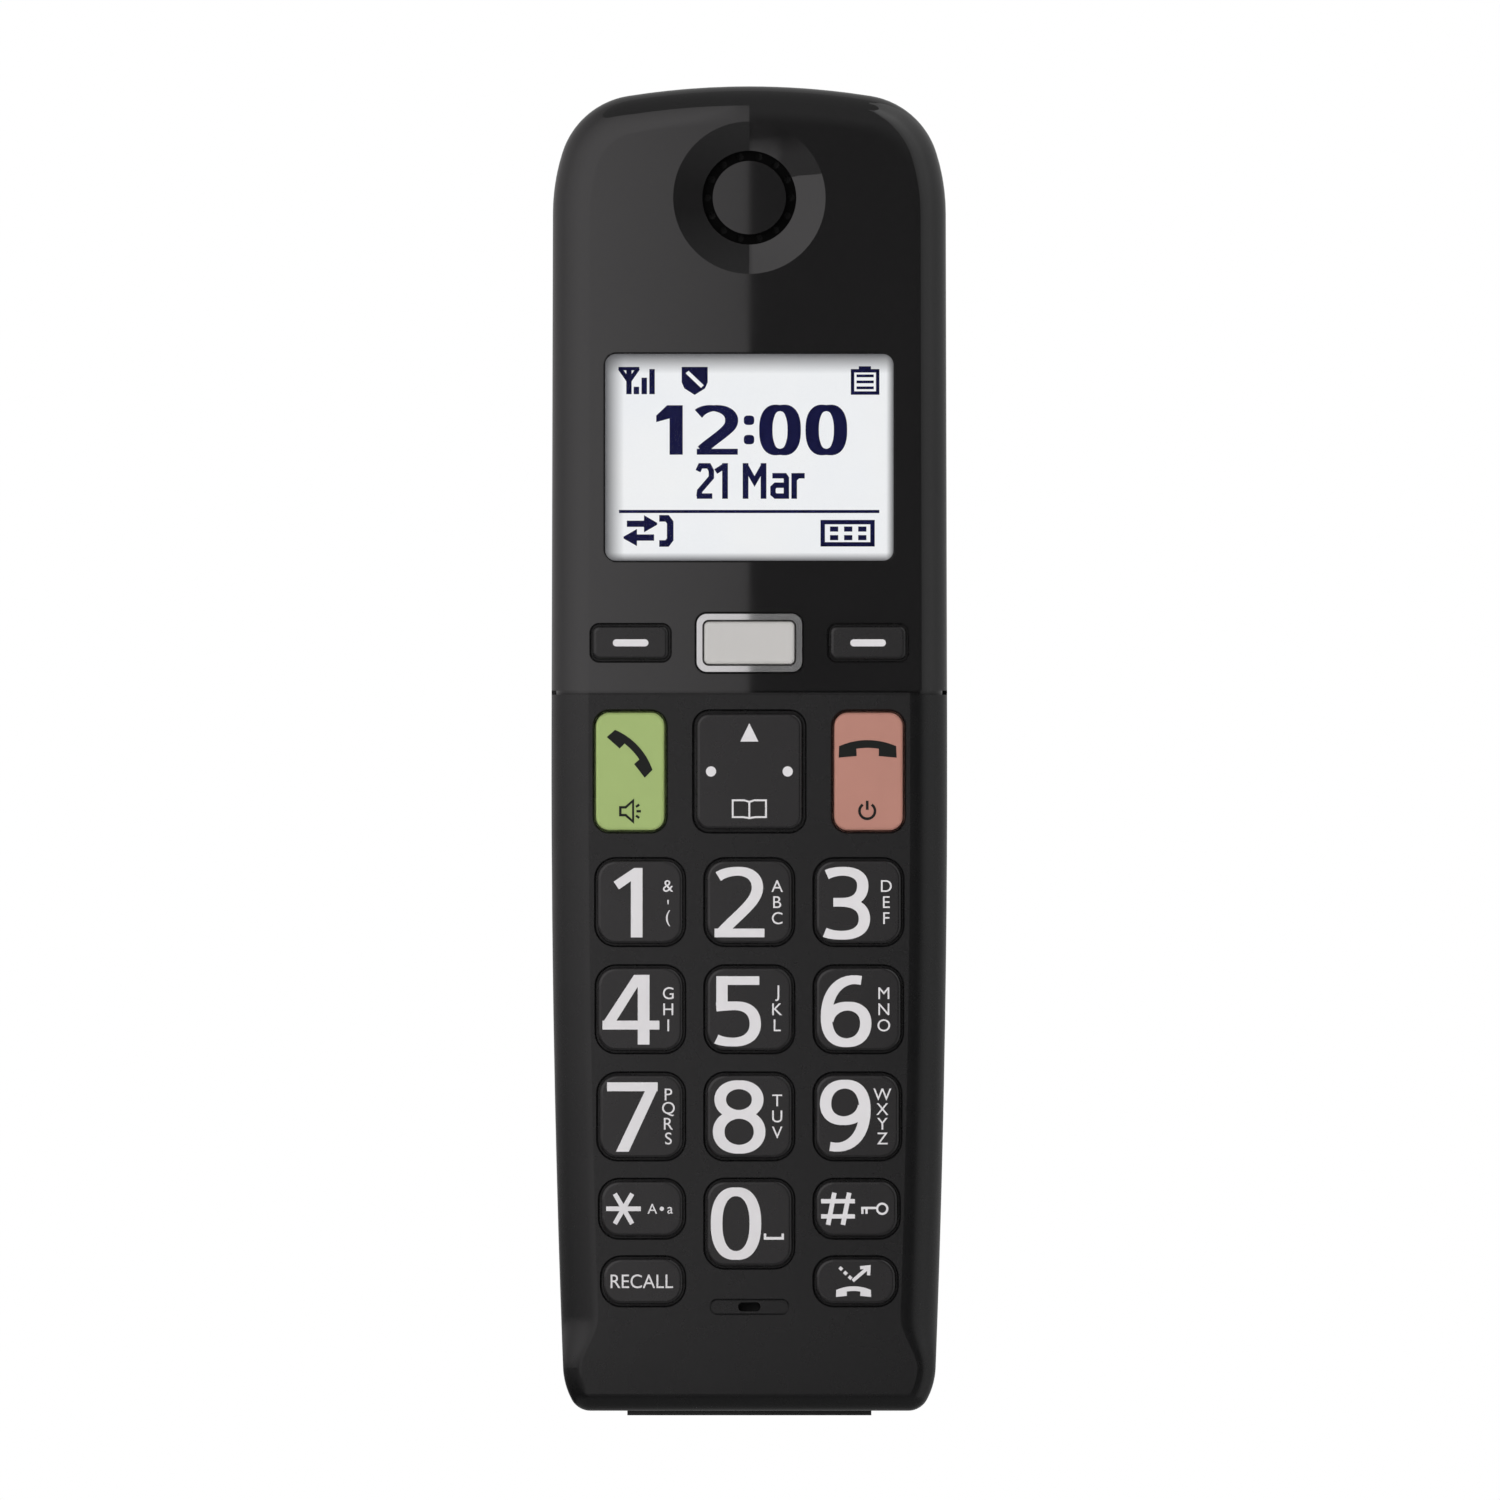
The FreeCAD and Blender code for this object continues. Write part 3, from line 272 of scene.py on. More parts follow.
looks = build_materials()
NODE_LOOKS = {
    "gloss": ["upper_panel"],
    "ear": ["earpiece_cap"],
    "case": ["front_case", "rear_case", "battery_cover"],
    "key": ["key_star", "key_hash", "key_recall", "key_call_block", "nav_key",
            *(f"key_{number}" for number in range(10))],
    "soft_key": ["soft_key_left", "soft_key_right"],
    "green": ["key_talk"],
    "red": ["key_hang_up"],
    "silver": ["smart_key"],
    "chrome": ["smart_key_bezel"],
    "pane": ["display_window"],
    "panel": ["lcd_glass"],
    "white_plastic": ["lcd_frame", "backlight", "nav_key_pivot"],
    "film": ["lcd_ribbon"],
    "foam": ["earpiece_gasket", "rear_speaker_gasket", "microphone_boot", "microphone", "earpiece_speaker"],
    "silicone": ["keypad_mat"],
    "chip": ["board_chips"],
    "board": ["main_pcb"],
    "steel": ["case_screws", "contact_domes", "rear_speaker"],
    "nickel": ["battery_springs", "battery_contacts", "charge_contacts"],
    "tin": ["rf_shield"],
    "brass": ["antenna"],
    "sleeve": ["battery_cell_left", "battery_cell_right"],
}
for look, names in NODE_LOOKS.items():
    for name in names:
        for material_slot in nodes[name].material_slots:
            material_slot.material = looks[look]


# ---------------------------------------------------------------- flat printing

PRINT_PROUD, PRINT_SUNK = 0.02 * MM, 0.01 * MM
FONT_CAPITAL = 0.72    # the height of a capital letter in Blender's own font at size 1
MITRE_LIMIT = 0.5      # a corner of a band grows to at most one over this
SLIVER = 0.00001       # a shape with a smaller area, in square mm, isn't drawn
MERGE_WITHIN = 0.0001  # points closer than this, in mm, become one
NO_LENGTH = 1e-9       # a shorter step, in mm, has no direction


class Print:
    """Thin flat shapes in a plane that faces the front. Their points are x and z in mm about its middle."""

    def __init__(self, x, z, y):
        self.x, self.z, self.y = x, z, y
        self.shapes, self.holes = [], []

    def polygon(self, outline):
        """A filled polygon. Shapes that overlap are joined into one."""
        if abs(area(outline)) > SLIVER:
            self.shapes.append(outline if area(outline) > 0 else outline[::-1])

    def hole(self, outline):
        """A polygon that is left out of all the shapes."""
        self.holes.append(outline)

    def stroke(self, path, upright, level=None, closed=False):
        """A band along a path. It is upright wide where it runs up or down, and level wide across."""
        level = upright if level is None else level
        count = len(path)
        left, right = [], []
        for i, (px, pz) in enumerate(path):
            before = path[i - 1] if i or closed else path[0]
            after = path[(i + 1) % count] if i < count - 1 or closed else path[-1]
            first = unit(px - before[0], pz - before[1]) or unit(after[0] - px, after[1] - pz)
            second = unit(after[0] - px, after[1] - pz) or first
            along = unit(first[0] + second[0], first[1] + second[1]) or first
            width = level + (upright - level) * abs(along[1])
            mitre = max(MITRE_LIMIT, along[0] * first[0] + along[1] * first[1])
            dx, dz = -along[1] * width / 2 / mitre, along[0] * width / 2 / mitre
            left.append((px + dx, pz + dz))
            right.append((px - dx, pz - dz))
        for i in range(count if closed else count - 1):
            j = (i + 1) % count
            self.polygon([left[i], left[j], right[j], right[i]])

    def line(self, *path, width):
        self.stroke(list(path), width)

    def disc(self, cx, cz, radius):
        self.polygon(oval(cx, cz, radius, radius))

    def bar(self, x_low, z_low, x_high, z_high):
        self.polygon([(x_low, z_low), (x_high, z_low), (x_high, z_high), (x_low, z_high)])

    def text(self, words, cx, cz, tall, stretch=1.0):
        """Letters from Blender's own font about a point. tall is the height of a capital letter in mm."""
        curve = bpy.data.curves.new("letters", "FONT")
        curve.body = words
        curve.size = tall / FONT_CAPITAL
        holder = bpy.data.objects.new("letters", curve)
        mesh = bpy.data.meshes.new_from_object(holder)
        spots = [(v.co.x, v.co.y) for v in mesh.vertices]
        middle_x = (min(s[0] for s in spots) + max(s[0] for s in spots)) / 2
        middle_z = (min(s[1] for s in spots) + max(s[1] for s in spots)) / 2
        for face in mesh.polygons:
            outline = [spots[i] for i in face.vertices]
            self.polygon([(cx + (px - middle_x) * stretch, cz + pz - middle_z) for px, pz in outline])
        bpy.data.objects.remove(holder)
        bpy.data.meshes.remove(mesh)
        bpy.data.curves.remove(curve)

    def finish(self, name, look, body, slot):
        """Joins the shapes, leaves out the holes, adds a thin side all round and makes the object."""
        spots, outlines = [], []
        for outline in self.shapes + self.holes:
            outlines.append(list(range(len(spots), len(spots) + len(outline))))
            spots += [Vector(spot) for spot in outline]
        joined, _, faces, _, _, _ = delaunay_2d_cdt(spots, [], outlines, 0, MERGE_WITHIN)
        shapes, holes = [bounded(o) for o in self.shapes], [bounded(o) for o in self.holes]
        solid = []
        for face in faces:
            middle = sum((joined[spot] for spot in face), Vector((0, 0))) / len(face)
            if covered(middle, shapes) and not covered(middle, holes):
                solid.append(tuple(face))
        used = {spot: i for i, spot in enumerate(sorted({spot for face in solid for spot in face}))}
        tops = [[used[spot] for spot in face] for face in solid]
        edges = {(face[i - 1], face[i]) for face in tops for i in range(len(face))}
        rim = [edge for edge in edges if edge[::-1] not in edges]
        shift = len(used)
        points = []
        for depth in (self.y - PRINT_PROUD, self.y + PRINT_SUNK):
            points += [(self.x + joined[spot].x * MM, depth, self.z + joined[spot].y * MM) for spot in used]
        sheets = tops + [[spot + shift for spot in reversed(face)] for face in tops]
        sides = [[b, a, a + shift, b + shift] for a, b in sorted(rim)]
        mesh = bpy.data.meshes.new(name)
        mesh.from_pydata(points, [], sheets + sides)
        mesh.materials.append(looks[look])
        made = bpy.data.objects.new(name, mesh)
        bpy.context.scene.collection.objects.link(made)
        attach(made, body)


def unit(dx, dz):
    length = math.hypot(dx, dz)
    return (dx / length, dz / length) if length > NO_LENGTH else None


def area(outline):
    return sum(a[0] * b[1] - b[0] * a[1] for a, b in zip(outline, outline[1:] + outline[:1])) / 2


def bounded(outline):
    """An outline with its lowest and highest x and z."""
    xs, zs = [spot[0] for spot in outline], [spot[1] for spot in outline]
    return min(xs), max(xs), min(zs), max(zs), outline


def covered(point, shapes):
    """Whether any of the bounded outlines has the point inside."""
    x, z = point
    for x_low, x_high, z_low, z_high, outline in shapes:
        if x_low <= x <= x_high and z_low <= z <= z_high:
            inside = False
            for (ax, az), (bx, bz) in zip(outline, outline[1:] + outline[:1]):
                if (az > z) != (bz > z) and x < ax + (bx - ax) * (z - az) / (bz - az):
                    inside = not inside
            if inside:
                return True
    return False


def oval(cx, cz, rx, rz, power=2.0, steps=40):
    """A closed oval. A power above 2 makes it squarer."""
    spots = []
    for i in range(steps):
        angle = 2 * math.pi * i / steps
        c, s = math.cos(angle), math.sin(angle)
        across = rx * math.copysign(abs(c) ** (2 / power), c)
        up = rz * math.copysign(abs(s) ** (2 / power), s)
        spots.append((cx + across, cz + up))
    return spots


def curve(start, *pieces, steps=12):
    """A smooth path: each piece is two control points and an end."""
    path = [start]
    for first, second, end in pieces:
        begin = path[-1]
        for i in range(1, steps + 1):
            t = i / steps
            a, b, c, d = (1 - t) ** 3, 3 * t * (1 - t) ** 2, 3 * t * t * (1 - t), t ** 3
            path.append(tuple(a * begin[k] + b * first[k] + c * second[k] + d * end[k] for k in (0, 1)))
    return path


def arc(cx, cz, radius, start, end, steps=16):
    angles = [math.radians(start + (end - start) * i / steps) for i in range(steps + 1)]
    return [(cx + radius * math.cos(a), cz + radius * math.sin(a)) for a in angles]


# ---------------------------------------------------------------- the big digits

# Their points are in mm from the left end of the baseline.
UPRIGHT, LEVEL = 1.37, 1.05
OVAL_UPRIGHT = UPRIGHT + 0.04
SIX = curve((4.95, 7.78), ((2.6, 8.3), (0.71, 6.6), (0.71, 3.3)), ((0.71, 1.3), (1.6, 0.22), (3.15, 0.22)),
            ((4.6, 0.22), (5.49, 1.2), (5.49, 2.6)), ((5.49, 3.9), (4.6, 4.66), (3.3, 4.66)),
            ((2.1, 4.66), (1.1, 4.0), (0.9, 2.9)))
DIGIT_STROKES = {
    "2": [curve((0.45, 7.38), ((1.15, 7.85), (2.0, 8.02), (2.9, 8.02)),
                ((4.3, 8.02), (5.2, 7.25), (5.2, 6.05)), ((5.2, 4.35), (3.1, 3.0), (0.85, 0.62))),
          [(0.0, 0.54), (6.05, 0.54)]],
    "3": [curve((0.45, 7.62), ((1.05, 7.9), (1.7, 8.02), (2.4, 8.02)),
                ((3.9, 8.02), (4.82, 7.4), (4.82, 6.3)),
                ((4.82, 5.0), (4.0, 4.26), (2.4, 4.26))) + [(1.25, 4.26)],
          curve((2.2, 4.26), ((4.1, 4.26), (5.02, 3.5), (5.02, 2.25)),
                ((5.02, 0.95), (4.0, 0.26), (2.3, 0.26)), ((1.45, 0.26), (0.8, 0.36), (0.2, 0.62)))],
    "5": [[(0.2, 7.76), (5.41, 7.76)],
          [(0.88, 8.29), (0.88, 4.12)],
          curve((0.2, 4.55), ((1.2, 4.68), (1.9, 4.7), (2.5, 4.7)),
                ((4.05, 4.7), (4.92, 3.9), (4.92, 2.5)), ((4.92, 1.1), (3.85, 0.3), (2.3, 0.3)),
                ((1.45, 0.3), (0.7, 0.42), (0.2, 0.68)))],
    "6": [SIX],
    "9": [[(6.2 - px, 8.42 - pz) for px, pz in SIX]],
}
DIGIT_SHAPES = {
    "1": [[(3.5, 8.42), (3.5, 0), (2.09, 0), (2.09, 6.82), (0.64, 5.82), (0, 6.76), (2.48, 8.42)]],
    "4": [[(0, 2.6), (3.83, 8.45), (5.3, 8.45), (4.9, 8.0), (1.5, 2.6)],
          [(0, 1.82), (6.9, 1.82), (6.9, 2.9), (0, 2.9)],
          [(4.28, 0), (5.7, 0), (5.7, 8.45), (4.28, 8.45)]],
    "7": [[(0, 8.42), (6.13, 8.42), (6.13, 7.34), (0, 7.34)],
          [(1.07, 0), (2.62, 0), (6.13, 7.6), (6.13, 8.2), (4.9, 8.0)]],
}
# Each oval's middle, its two radii and how square it is.
DIGIT_OVALS = {
    "0": [(3.08, 4.2, 2.35, 3.86, 2.35)],
    "8": [(3.2, 6.33, 2.27, 1.8, 2.1), (3.22, 2.42, 2.48, 2.12, 2.1)],
}
DIGIT_LEFT = {
    "0": -4.7, "1": -3.22, "2": -4.22, "3": -4.3, "4": -4.6,
    "5": -4.2, "6": -4.58, "7": -4.14, "8": -4.46, "9": -4.58,
}
DIGIT_BASE, ZERO_BASE = -4.28, -4.2


def digit(surface, number, left, base):
    """One big digit whose left edge and baseline are given in mm about the key's middle."""
    for path in DIGIT_STROKES.get(number, []):
        surface.stroke([(left + px, base + pz) for px, pz in path], UPRIGHT, LEVEL)
    for outline in DIGIT_SHAPES.get(number, []):
        surface.polygon([(left + px, base + pz) for px, pz in outline])
    for cx, cz, rx, rz, power in DIGIT_OVALS.get(number, []):
        surface.stroke(oval(left + cx, base + cz, rx, rz, power, 64), OVAL_UPRIGHT, LEVEL, closed=True)


def key_surface(node):
    """A printing surface on a key's front face, about the middle of its opening."""
    low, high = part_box(node)
    return Print((low.x + high.x) / 2, (low.z + high.z) / 2, low.y)


SMALL_LETTERS = {
    "1": ("&", "'", "("), "2": "ABC", "3": "DEF",
    "4": "GHI", "5": "JKL", "6": "MNO",
    "7": "PQRS", "8": "TUV", "9": "WXYZ",
}
LETTER_COLUMN = {"6": 3.1, "7": 3.3, "9": 3.02}
LETTER_COLUMN_USUAL, LETTER_TALL, LETTER_PITCH, CLOSE_PITCH = 3.38, 1.5, 1.95, 1.78


def print_digit_keys():
    for number, letters in SMALL_LETTERS.items():
        surface = key_surface(f"key_{number}")
        digit(surface, number, DIGIT_LEFT[number], DIGIT_BASE)
        pitch = LETTER_PITCH if len(letters) == 3 else CLOSE_PITCH
        column = LETTER_COLUMN.get(number, LETTER_COLUMN_USUAL)
        top = (len(letters) - 1) / 2 * pitch
        for i, letter in enumerate(letters):
            surface.text(letter, column, top - i * pitch, LETTER_TALL)
        surface.finish(f"print_{number}", "print", f"key_{number}", "key_black")
    surface = key_surface("key_0")
    digit(surface, "0", DIGIT_LEFT["0"], ZERO_BASE)
    for x_low, x_high, z_high in ((1.75, 4.2, -1.62), (1.75, 2.05, -1.2), (3.9, 4.2, -1.2)):
        surface.bar(x_low, -1.95, x_high, z_high)
    surface.finish("print_0", "print", "key_0", "key_black")


def print_function_keys():
    surface = key_surface("key_star")
    reach = 2.1
    for angle in (0, 60, 120):
        dx, dz = reach * math.cos(math.radians(angle)), reach * math.sin(math.radians(angle))
        surface.line((-2.25 - dx, -dz), (-2.25 + dx, dz), width=0.56)
    surface.text("A", 1.25, 0.0, 1.25)
    surface.disc(2.4, 0.0, 0.26)
    surface.text("a", 3.4, -0.18, 1.25)
    surface.finish("print_star", "print", "key_star", "key_black")

    surface = key_surface("key_hash")
    for cx in (-3.08, -1.28):
        surface.line((cx - 0.38, -1.95), (cx + 0.38, 1.95), width=0.56)
    for cz in (-0.92, 0.92):
        surface.line((-4.31, cz), (-0.21, cz), width=0.53)
    surface.stroke(oval(3.1, 0.0, 0.62, 0.62), 0.26, closed=True)
    surface.line((0.55, 0.1), (2.4, 0.1), width=0.28)
    for cx in (0.7, 1.2):
        surface.line((cx, 0.1), (cx, -0.62), width=0.28)
    surface.finish("print_hash", "print", "key_hash", "key_black")

    surface = key_surface("key_recall")
    surface.text("RECALL", -0.15, 0.0, 1.72, 0.94)
    surface.finish("print_recall", "print", "key_recall", "key_black")

    surface = key_surface("key_call_block")
    handset(surface, -0.25, -0.6, 0.6, 0)
    surface.line((-0.35, 0.05), (1.45, 1.6), width=0.42)
    surface.line((0.55, 1.65), (1.62, 1.75), (1.57, 0.72), width=0.4)
    for share in (0.0, 0.33, 0.66):
        cx, cz = -1.95 + 1.7 * share, 1.7 - 1.65 * share
        surface.line((cx, cz), (cx + 0.32, cz - 0.31), width=0.4)
    surface.finish("print_call_block", "print", "key_call_block", "key_black")


def handset(surface, cx, cz, size, turn):
    """A telephone receiver lying face down, turned about its middle."""
    top, under = arc(0, -8.6, 8.6, 114, 66), arc(0, -8.9, 7.95, 80, 100)
    outline = top + [(3.55, -2.15), (1.35, -1.95)] + under + [(-1.35, -1.95), (-3.55, -2.15)]
    c, s = math.cos(math.radians(turn)), math.sin(math.radians(turn))
    surface.polygon([(cx + size * (px * c - pz * s), cz + size * (px * s + pz * c)) for px, pz in outline])


def print_call_keys():
    surface = key_surface("key_talk")
    handset(surface, 0.95, 3.1, 0.95, -47)
    speaker = [(-1.2, -4.35), (-0.55, -4.35), (0.35, -3.55), (0.35, -6.1), (-0.55, -5.3), (-1.2, -5.3)]
    surface.stroke(speaker, 0.3, closed=True)
    surface.line((0.75, -4.83), (1.3, -4.83), width=0.3)
    surface.line((0.7, -4.3), (1.1, -4.02), width=0.28)
    surface.line((0.7, -5.36), (1.1, -5.64), width=0.28)
    surface.finish("print_talk", "dark_print", "key_talk", "key_green")

    surface = key_surface("key_hang_up")
    handset(surface, -0.1, 3.8, 0.99, 0)
    surface.stroke(arc(-0.15, -4.8, 0.95, 125, 415), 0.32)
    surface.line((-0.15, -4.65), (-0.15, -3.55), width=0.32)
    surface.finish("print_hang_up", "dark_print", "key_hang_up", "key_red")


def print_nav_key():
    surface = key_surface("nav_key")
    surface.polygon([(-1.1, 3.62), (1.1, 3.62), (0, 5.85)])
    for cx in (-4.65, 4.65):
        surface.disc(cx, 0.0, 0.62)
    page = [(0.0, -5.66), (0.0, -3.7), (0.6, -3.5), (2.02, -3.5), (2.02, -5.54), (0.75, -5.54)]
    surface.stroke(page, 0.22, closed=True)
    surface.stroke([(-px, pz) for px, pz in page], 0.22, closed=True)
    surface.finish("print_nav", "print", "nav_key", "key_black")


def print_soft_keys():
    for node in ("soft_key_left", "soft_key_right"):
        surface = key_surface(node)
        half, radius = 2.16, 0.43
        right = arc(half - radius, 0, radius, -90, 90)
        left = arc(radius - half, 0, radius, 90, 270)
        surface.polygon(right + left)
        surface.finish(f"print_{node}", "print", node, "soft_key_black")


# ---------------------------------------------------------------- the picture on the display

def lcd_picture():
    """The display's picture, about the middle of the glass."""
    low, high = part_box("lcd_glass")
    surface = Print((low.x + high.x) / 2 + 0.12 * MM, (low.z + high.z) / 2, low.y)
    lcd_status(surface)
    lcd_time(surface)
    lcd_date(surface)
    lcd_labels(surface)
    surface.finish("lcd_picture", "lcd_ink", "handset", "lcd_panel")


def lcd_status(surface):
    """The top row: the aerial with its signal bars, a shield and the battery."""
    surface.line((-15.85, 10.8), (-14.72, 9.2), width=0.5)
    surface.line((-13.6, 10.8), (-14.72, 9.2), width=0.5)
    surface.bar(-16.0, 10.55, -13.46, 10.97)
    surface.bar(-15.05, 7.66, -14.4, 10.9)
    for x_low, tall in ((-14.15, 0.9), (-13.2, 2.0), (-12.25, 3.05)):
        surface.bar(x_low, 7.66, x_low + 0.66, 7.66 + tall)
    surface.polygon([(-8.33, 10.97), (-5.17, 10.97), (-5.17, 9.1), (-5.5, 8.35), (-6.75, 7.57), (-8.0, 8.35),
                     (-8.33, 9.1)])
    surface.hole([(-7.85, 10.2), (-7.5, 10.5), (-5.65, 8.75), (-5.98, 8.42)])
    surface.stroke([(12.4, 7.8), (15.45, 7.8), (15.45, 10.5), (12.4, 10.5)], 0.42, closed=True)
    surface.bar(13.15, 10.55, 14.63, 11.05)
    for cz in (8.43, 9.15, 9.88):
        surface.bar(12.88, cz - 0.17, 14.97, cz + 0.17)


def lcd_time(surface):
    """Twelve o'clock in heavy figures with thin level strokes."""
    base, tall, thick, thin = 0.32, 6.0, 1.6, 0.72
    surface.bar(-9.8, base, -8.2, base + tall)
    surface.polygon([(-11.42, base + 3.95), (-11.42, base + 4.75), (-10.1, base + tall), (-9.0, base + tall),
                     (-9.6, base + 4.45)])
    two = curve((0.1, 4.95), ((0.7, 5.55), (1.6, 5.7), (2.3, 5.62)), ((3.9, 5.45), (4.6, 4.3), (3.8, 3.3)),
                ((2.9, 2.3), (1.3, 1.4), (0.5, 0.5)))
    surface.stroke([(px - 6.4, pz + base) for px, pz in two], thick, thin)
    surface.bar(-6.5, base, -1.52, base + thin)
    for cz in (1.83, 4.18):
        surface.polygon(oval(-0.16, base + cz, 0.64, 0.58, 3.0, 24))
    for cx in (3.6, 9.22):
        surface.stroke(oval(cx, base + tall / 2, 1.72, 2.66, 2.5, 48), 1.62, 0.74, closed=True)


def lcd_date(surface):
    """The day and the month in narrow letters."""
    base, tall, w = -5.03, 4.33, 0.66
    two = ((0.0, 3.35), (0.3, 4.0), (1.3, 4.0), (1.62, 3.4), (1.62, 2.6), (0.2, 0.95), (0.12, 0.3))
    surface.stroke([(px - 6.35, pz + base) for px, pz in two], w)
    surface.bar(-6.5, base, -4.61, base + w)
    surface.bar(-3.42, base, -2.72, base + tall)
    surface.line((-4.2, base + 3.3), (-3.05, base + 4.05), width=w)
    for x_low in (-0.93, 1.25):
        surface.bar(x_low, base, x_low + 0.7, base + tall)
    surface.line((-0.62, base + 4.1), (0.51, base + 2.1), (1.64, base + 4.1), width=w)
    bowl = ((0.25, 2.8), (1.75, 2.8), (1.95, 2.5), (1.95, 0.33), (0.65, 0.33), (0.33, 0.6), (0.33, 1.35),
            (0.65, 1.65), (1.95, 1.65))
    surface.stroke([(px + 2.42, pz + base) for px, pz in bowl], w)
    surface.bar(4.04, base, 4.7, base + 2.6)
    surface.bar(4.98, base, 5.66, base + 3.12)
    surface.line((5.35, base + 2.4), (5.8, base + 2.8), (6.6, base + 2.8), width=w)


def lcd_labels(surface):
    """The rule near the bottom, with the calls label at its left and the keypad label at its right."""
    surface.bar(-15.94, -6.76, 15.65, -6.38)
    for tail, neck, tip, cz in ((-14.98, -12.9, -11.3, -8.06), (-11.67, -13.75, -15.38, -9.73)):
        surface.line((tail, cz), (neck, cz), width=0.76)
        surface.polygon([(neck, cz + 1.04), (tip, cz + 0.12), (tip, cz - 0.12), (neck, cz - 1.04)])
    surface.stroke([(-11.05, -7.4), (-10.1, -7.4), (-9.72, -7.9), (-9.72, -9.95), (-10.1, -10.45),
                    (-11.05, -10.45)], 0.8)
    surface.stroke([(8.78, -10.55), (14.82, -10.55), (14.82, -7.86), (8.78, -7.86)], 0.58, 0.44, closed=True)
    for cx in (10.16, 11.87, 13.58):
        for cz in (-8.7, -9.74):
            surface.bar(cx - 0.5, cz - 0.31, cx + 0.5, cz + 0.31)


print_digit_keys()
print_function_keys()
print_call_keys()
print_nav_key()
print_soft_keys()
lcd_picture()


# ---------------------------------------------------------------- studio

VIEW_WIDTH, VIEW_HEIGHT, VIEW_SIDE = 0.18195, 0.0807, 0.00008
CAMERA_AWAY, CAMERA_REACH = 0.5, 20
FLOOR_REACH, FLOOR_NEAR, FLOOR_FAR = 3.0, 0.1, 0.34
WHITE, WARM_WHITE = (1.0, 1.0, 1.0), (1.0, 0.97, 0.98)
# The room's light where the view is level and where it is steep, and the slopes between which it grows.
ROOM_LIGHT, ROOM_SLOPE = (0.07, 0.28), (0.1, 0.6)

CARD_RADIUS, CARD_STEPS = 0.6, 48
CARD_LOW, LOW_CARD_TOP, CARD_TOP, RIGHT_CARD_TOP = -0.4, 0.035, 1.1, 2.0
# Over the last 24 mm before the middle of the object a card's strength falls like this.
ACROSS = ("X", (-0.024, 0.0), (1.29, 0.85))
# Each card's colour, the angles and the heights between which it stands, its strength at some places
# along Y, which are shares of the radius, and the ramps that multiply it.
CARDS = {
    "left_card": (WARM_WHITE, (0, -150), (LOW_CARD_TOP, CARD_TOP),
                  [(-1.0, 1.0), (-0.85, 1.0), (-0.5, 0.84), (0.0, 0.55), (0.8, 0.35)],
                  [ACROSS, ("Z", (0.35, 1.15), (1.0, 0.72))]),
    "low_card": (WARM_WHITE, (0, -60), (CARD_LOW, LOW_CARD_TOP),
                 [(-1.0, 1.0), (-0.985, 0.85), (-0.95, 0.28), (-0.5, 0.22)],
                 [ACROSS, ("Z", (-0.2, -0.08), (0.1, 1.0))]),
    "left_low_card": (WHITE, (-60, -150), (CARD_LOW, LOW_CARD_TOP),
                      [(-0.5, 0.84), (0.0, 0.55), (0.8, 0.35)],
                      [("Z", (-0.3, 0.03), (0.06, 0.45))]),
    "right_card": (WHITE, (38, 150), (CARD_LOW, RIGHT_CARD_TOP),
                   [(-0.79, 0.4), (-0.64, 0.6), (-0.34, 0.65), (0.0, 0.5), (0.8, 0.35)],
                   [("Z", (0.12, 1.1), (1.0, 2.4))]),
    "back_card": (WHITE, (150, 210), (CARD_LOW, CARD_TOP),
                  [(0.8, 0.35), (1.0, 0.3)],
                  [("Z", (0.0, 1.0), (1.0, 1.3))]),
}


def map_range(tree, source, start, end):
    """A number that runs between the two ends as the source runs between the two starts."""
    node = tree.nodes.new("ShaderNodeMapRange")
    for socket, value in zip(("From Min", "From Max", "To Min", "To Max"), (*start, *end)):
        node.inputs[socket].default_value = value
    tree.links.new(source, node.inputs["Value"])
    return node.outputs["Result"]


def emitter(name, colour, levels, ramps):
    """A light surface. levels are shares of the card's radius along Y, each with the strength there."""
    material = bpy.data.materials.new(name)
    material.use_nodes = True
    tree = material.node_tree
    tree.nodes.clear()
    out = tree.nodes.new("ShaderNodeOutputMaterial")
    emission = tree.nodes.new("ShaderNodeEmission")
    place = tree.nodes.new("ShaderNodeTexCoord")
    split = tree.nodes.new("ShaderNodeSeparateXYZ")
    tree.links.new(place.outputs["Object"], split.inputs[0])
    low, high = levels[0][0] * CARD_RADIUS, levels[-1][0] * CARD_RADIUS
    share = map_range(tree, split.outputs["Y"], (low, high), (0.0, 1.0))
    ramp = tree.nodes.new("ShaderNodeValToRGB")
    for i, (y, level) in enumerate(levels):
        spot = (y * CARD_RADIUS - low) / (high - low)
        stop = ramp.color_ramp.elements[i] if i < 2 else ramp.color_ramp.elements.new(spot)
        stop.position = spot
        stop.color = (level, level, level, 1)
    tree.links.new(share, ramp.inputs["Fac"])
    strength = ramp.outputs["Color"]
    for axis, start, end in ramps:
        both = tree.nodes.new("ShaderNodeMath")
        both.operation = "MULTIPLY"
        tree.links.new(strength, both.inputs[0])
        tree.links.new(map_range(tree, split.outputs[axis], start, end), both.inputs[1])
        strength = both.outputs[0]
    tree.links.new(strength, emission.inputs["Strength"])
    tree.links.new(emission.outputs["Emission"], out.inputs["Surface"])
    emission.inputs["Color"].default_value = (*colour, 1)
    return material


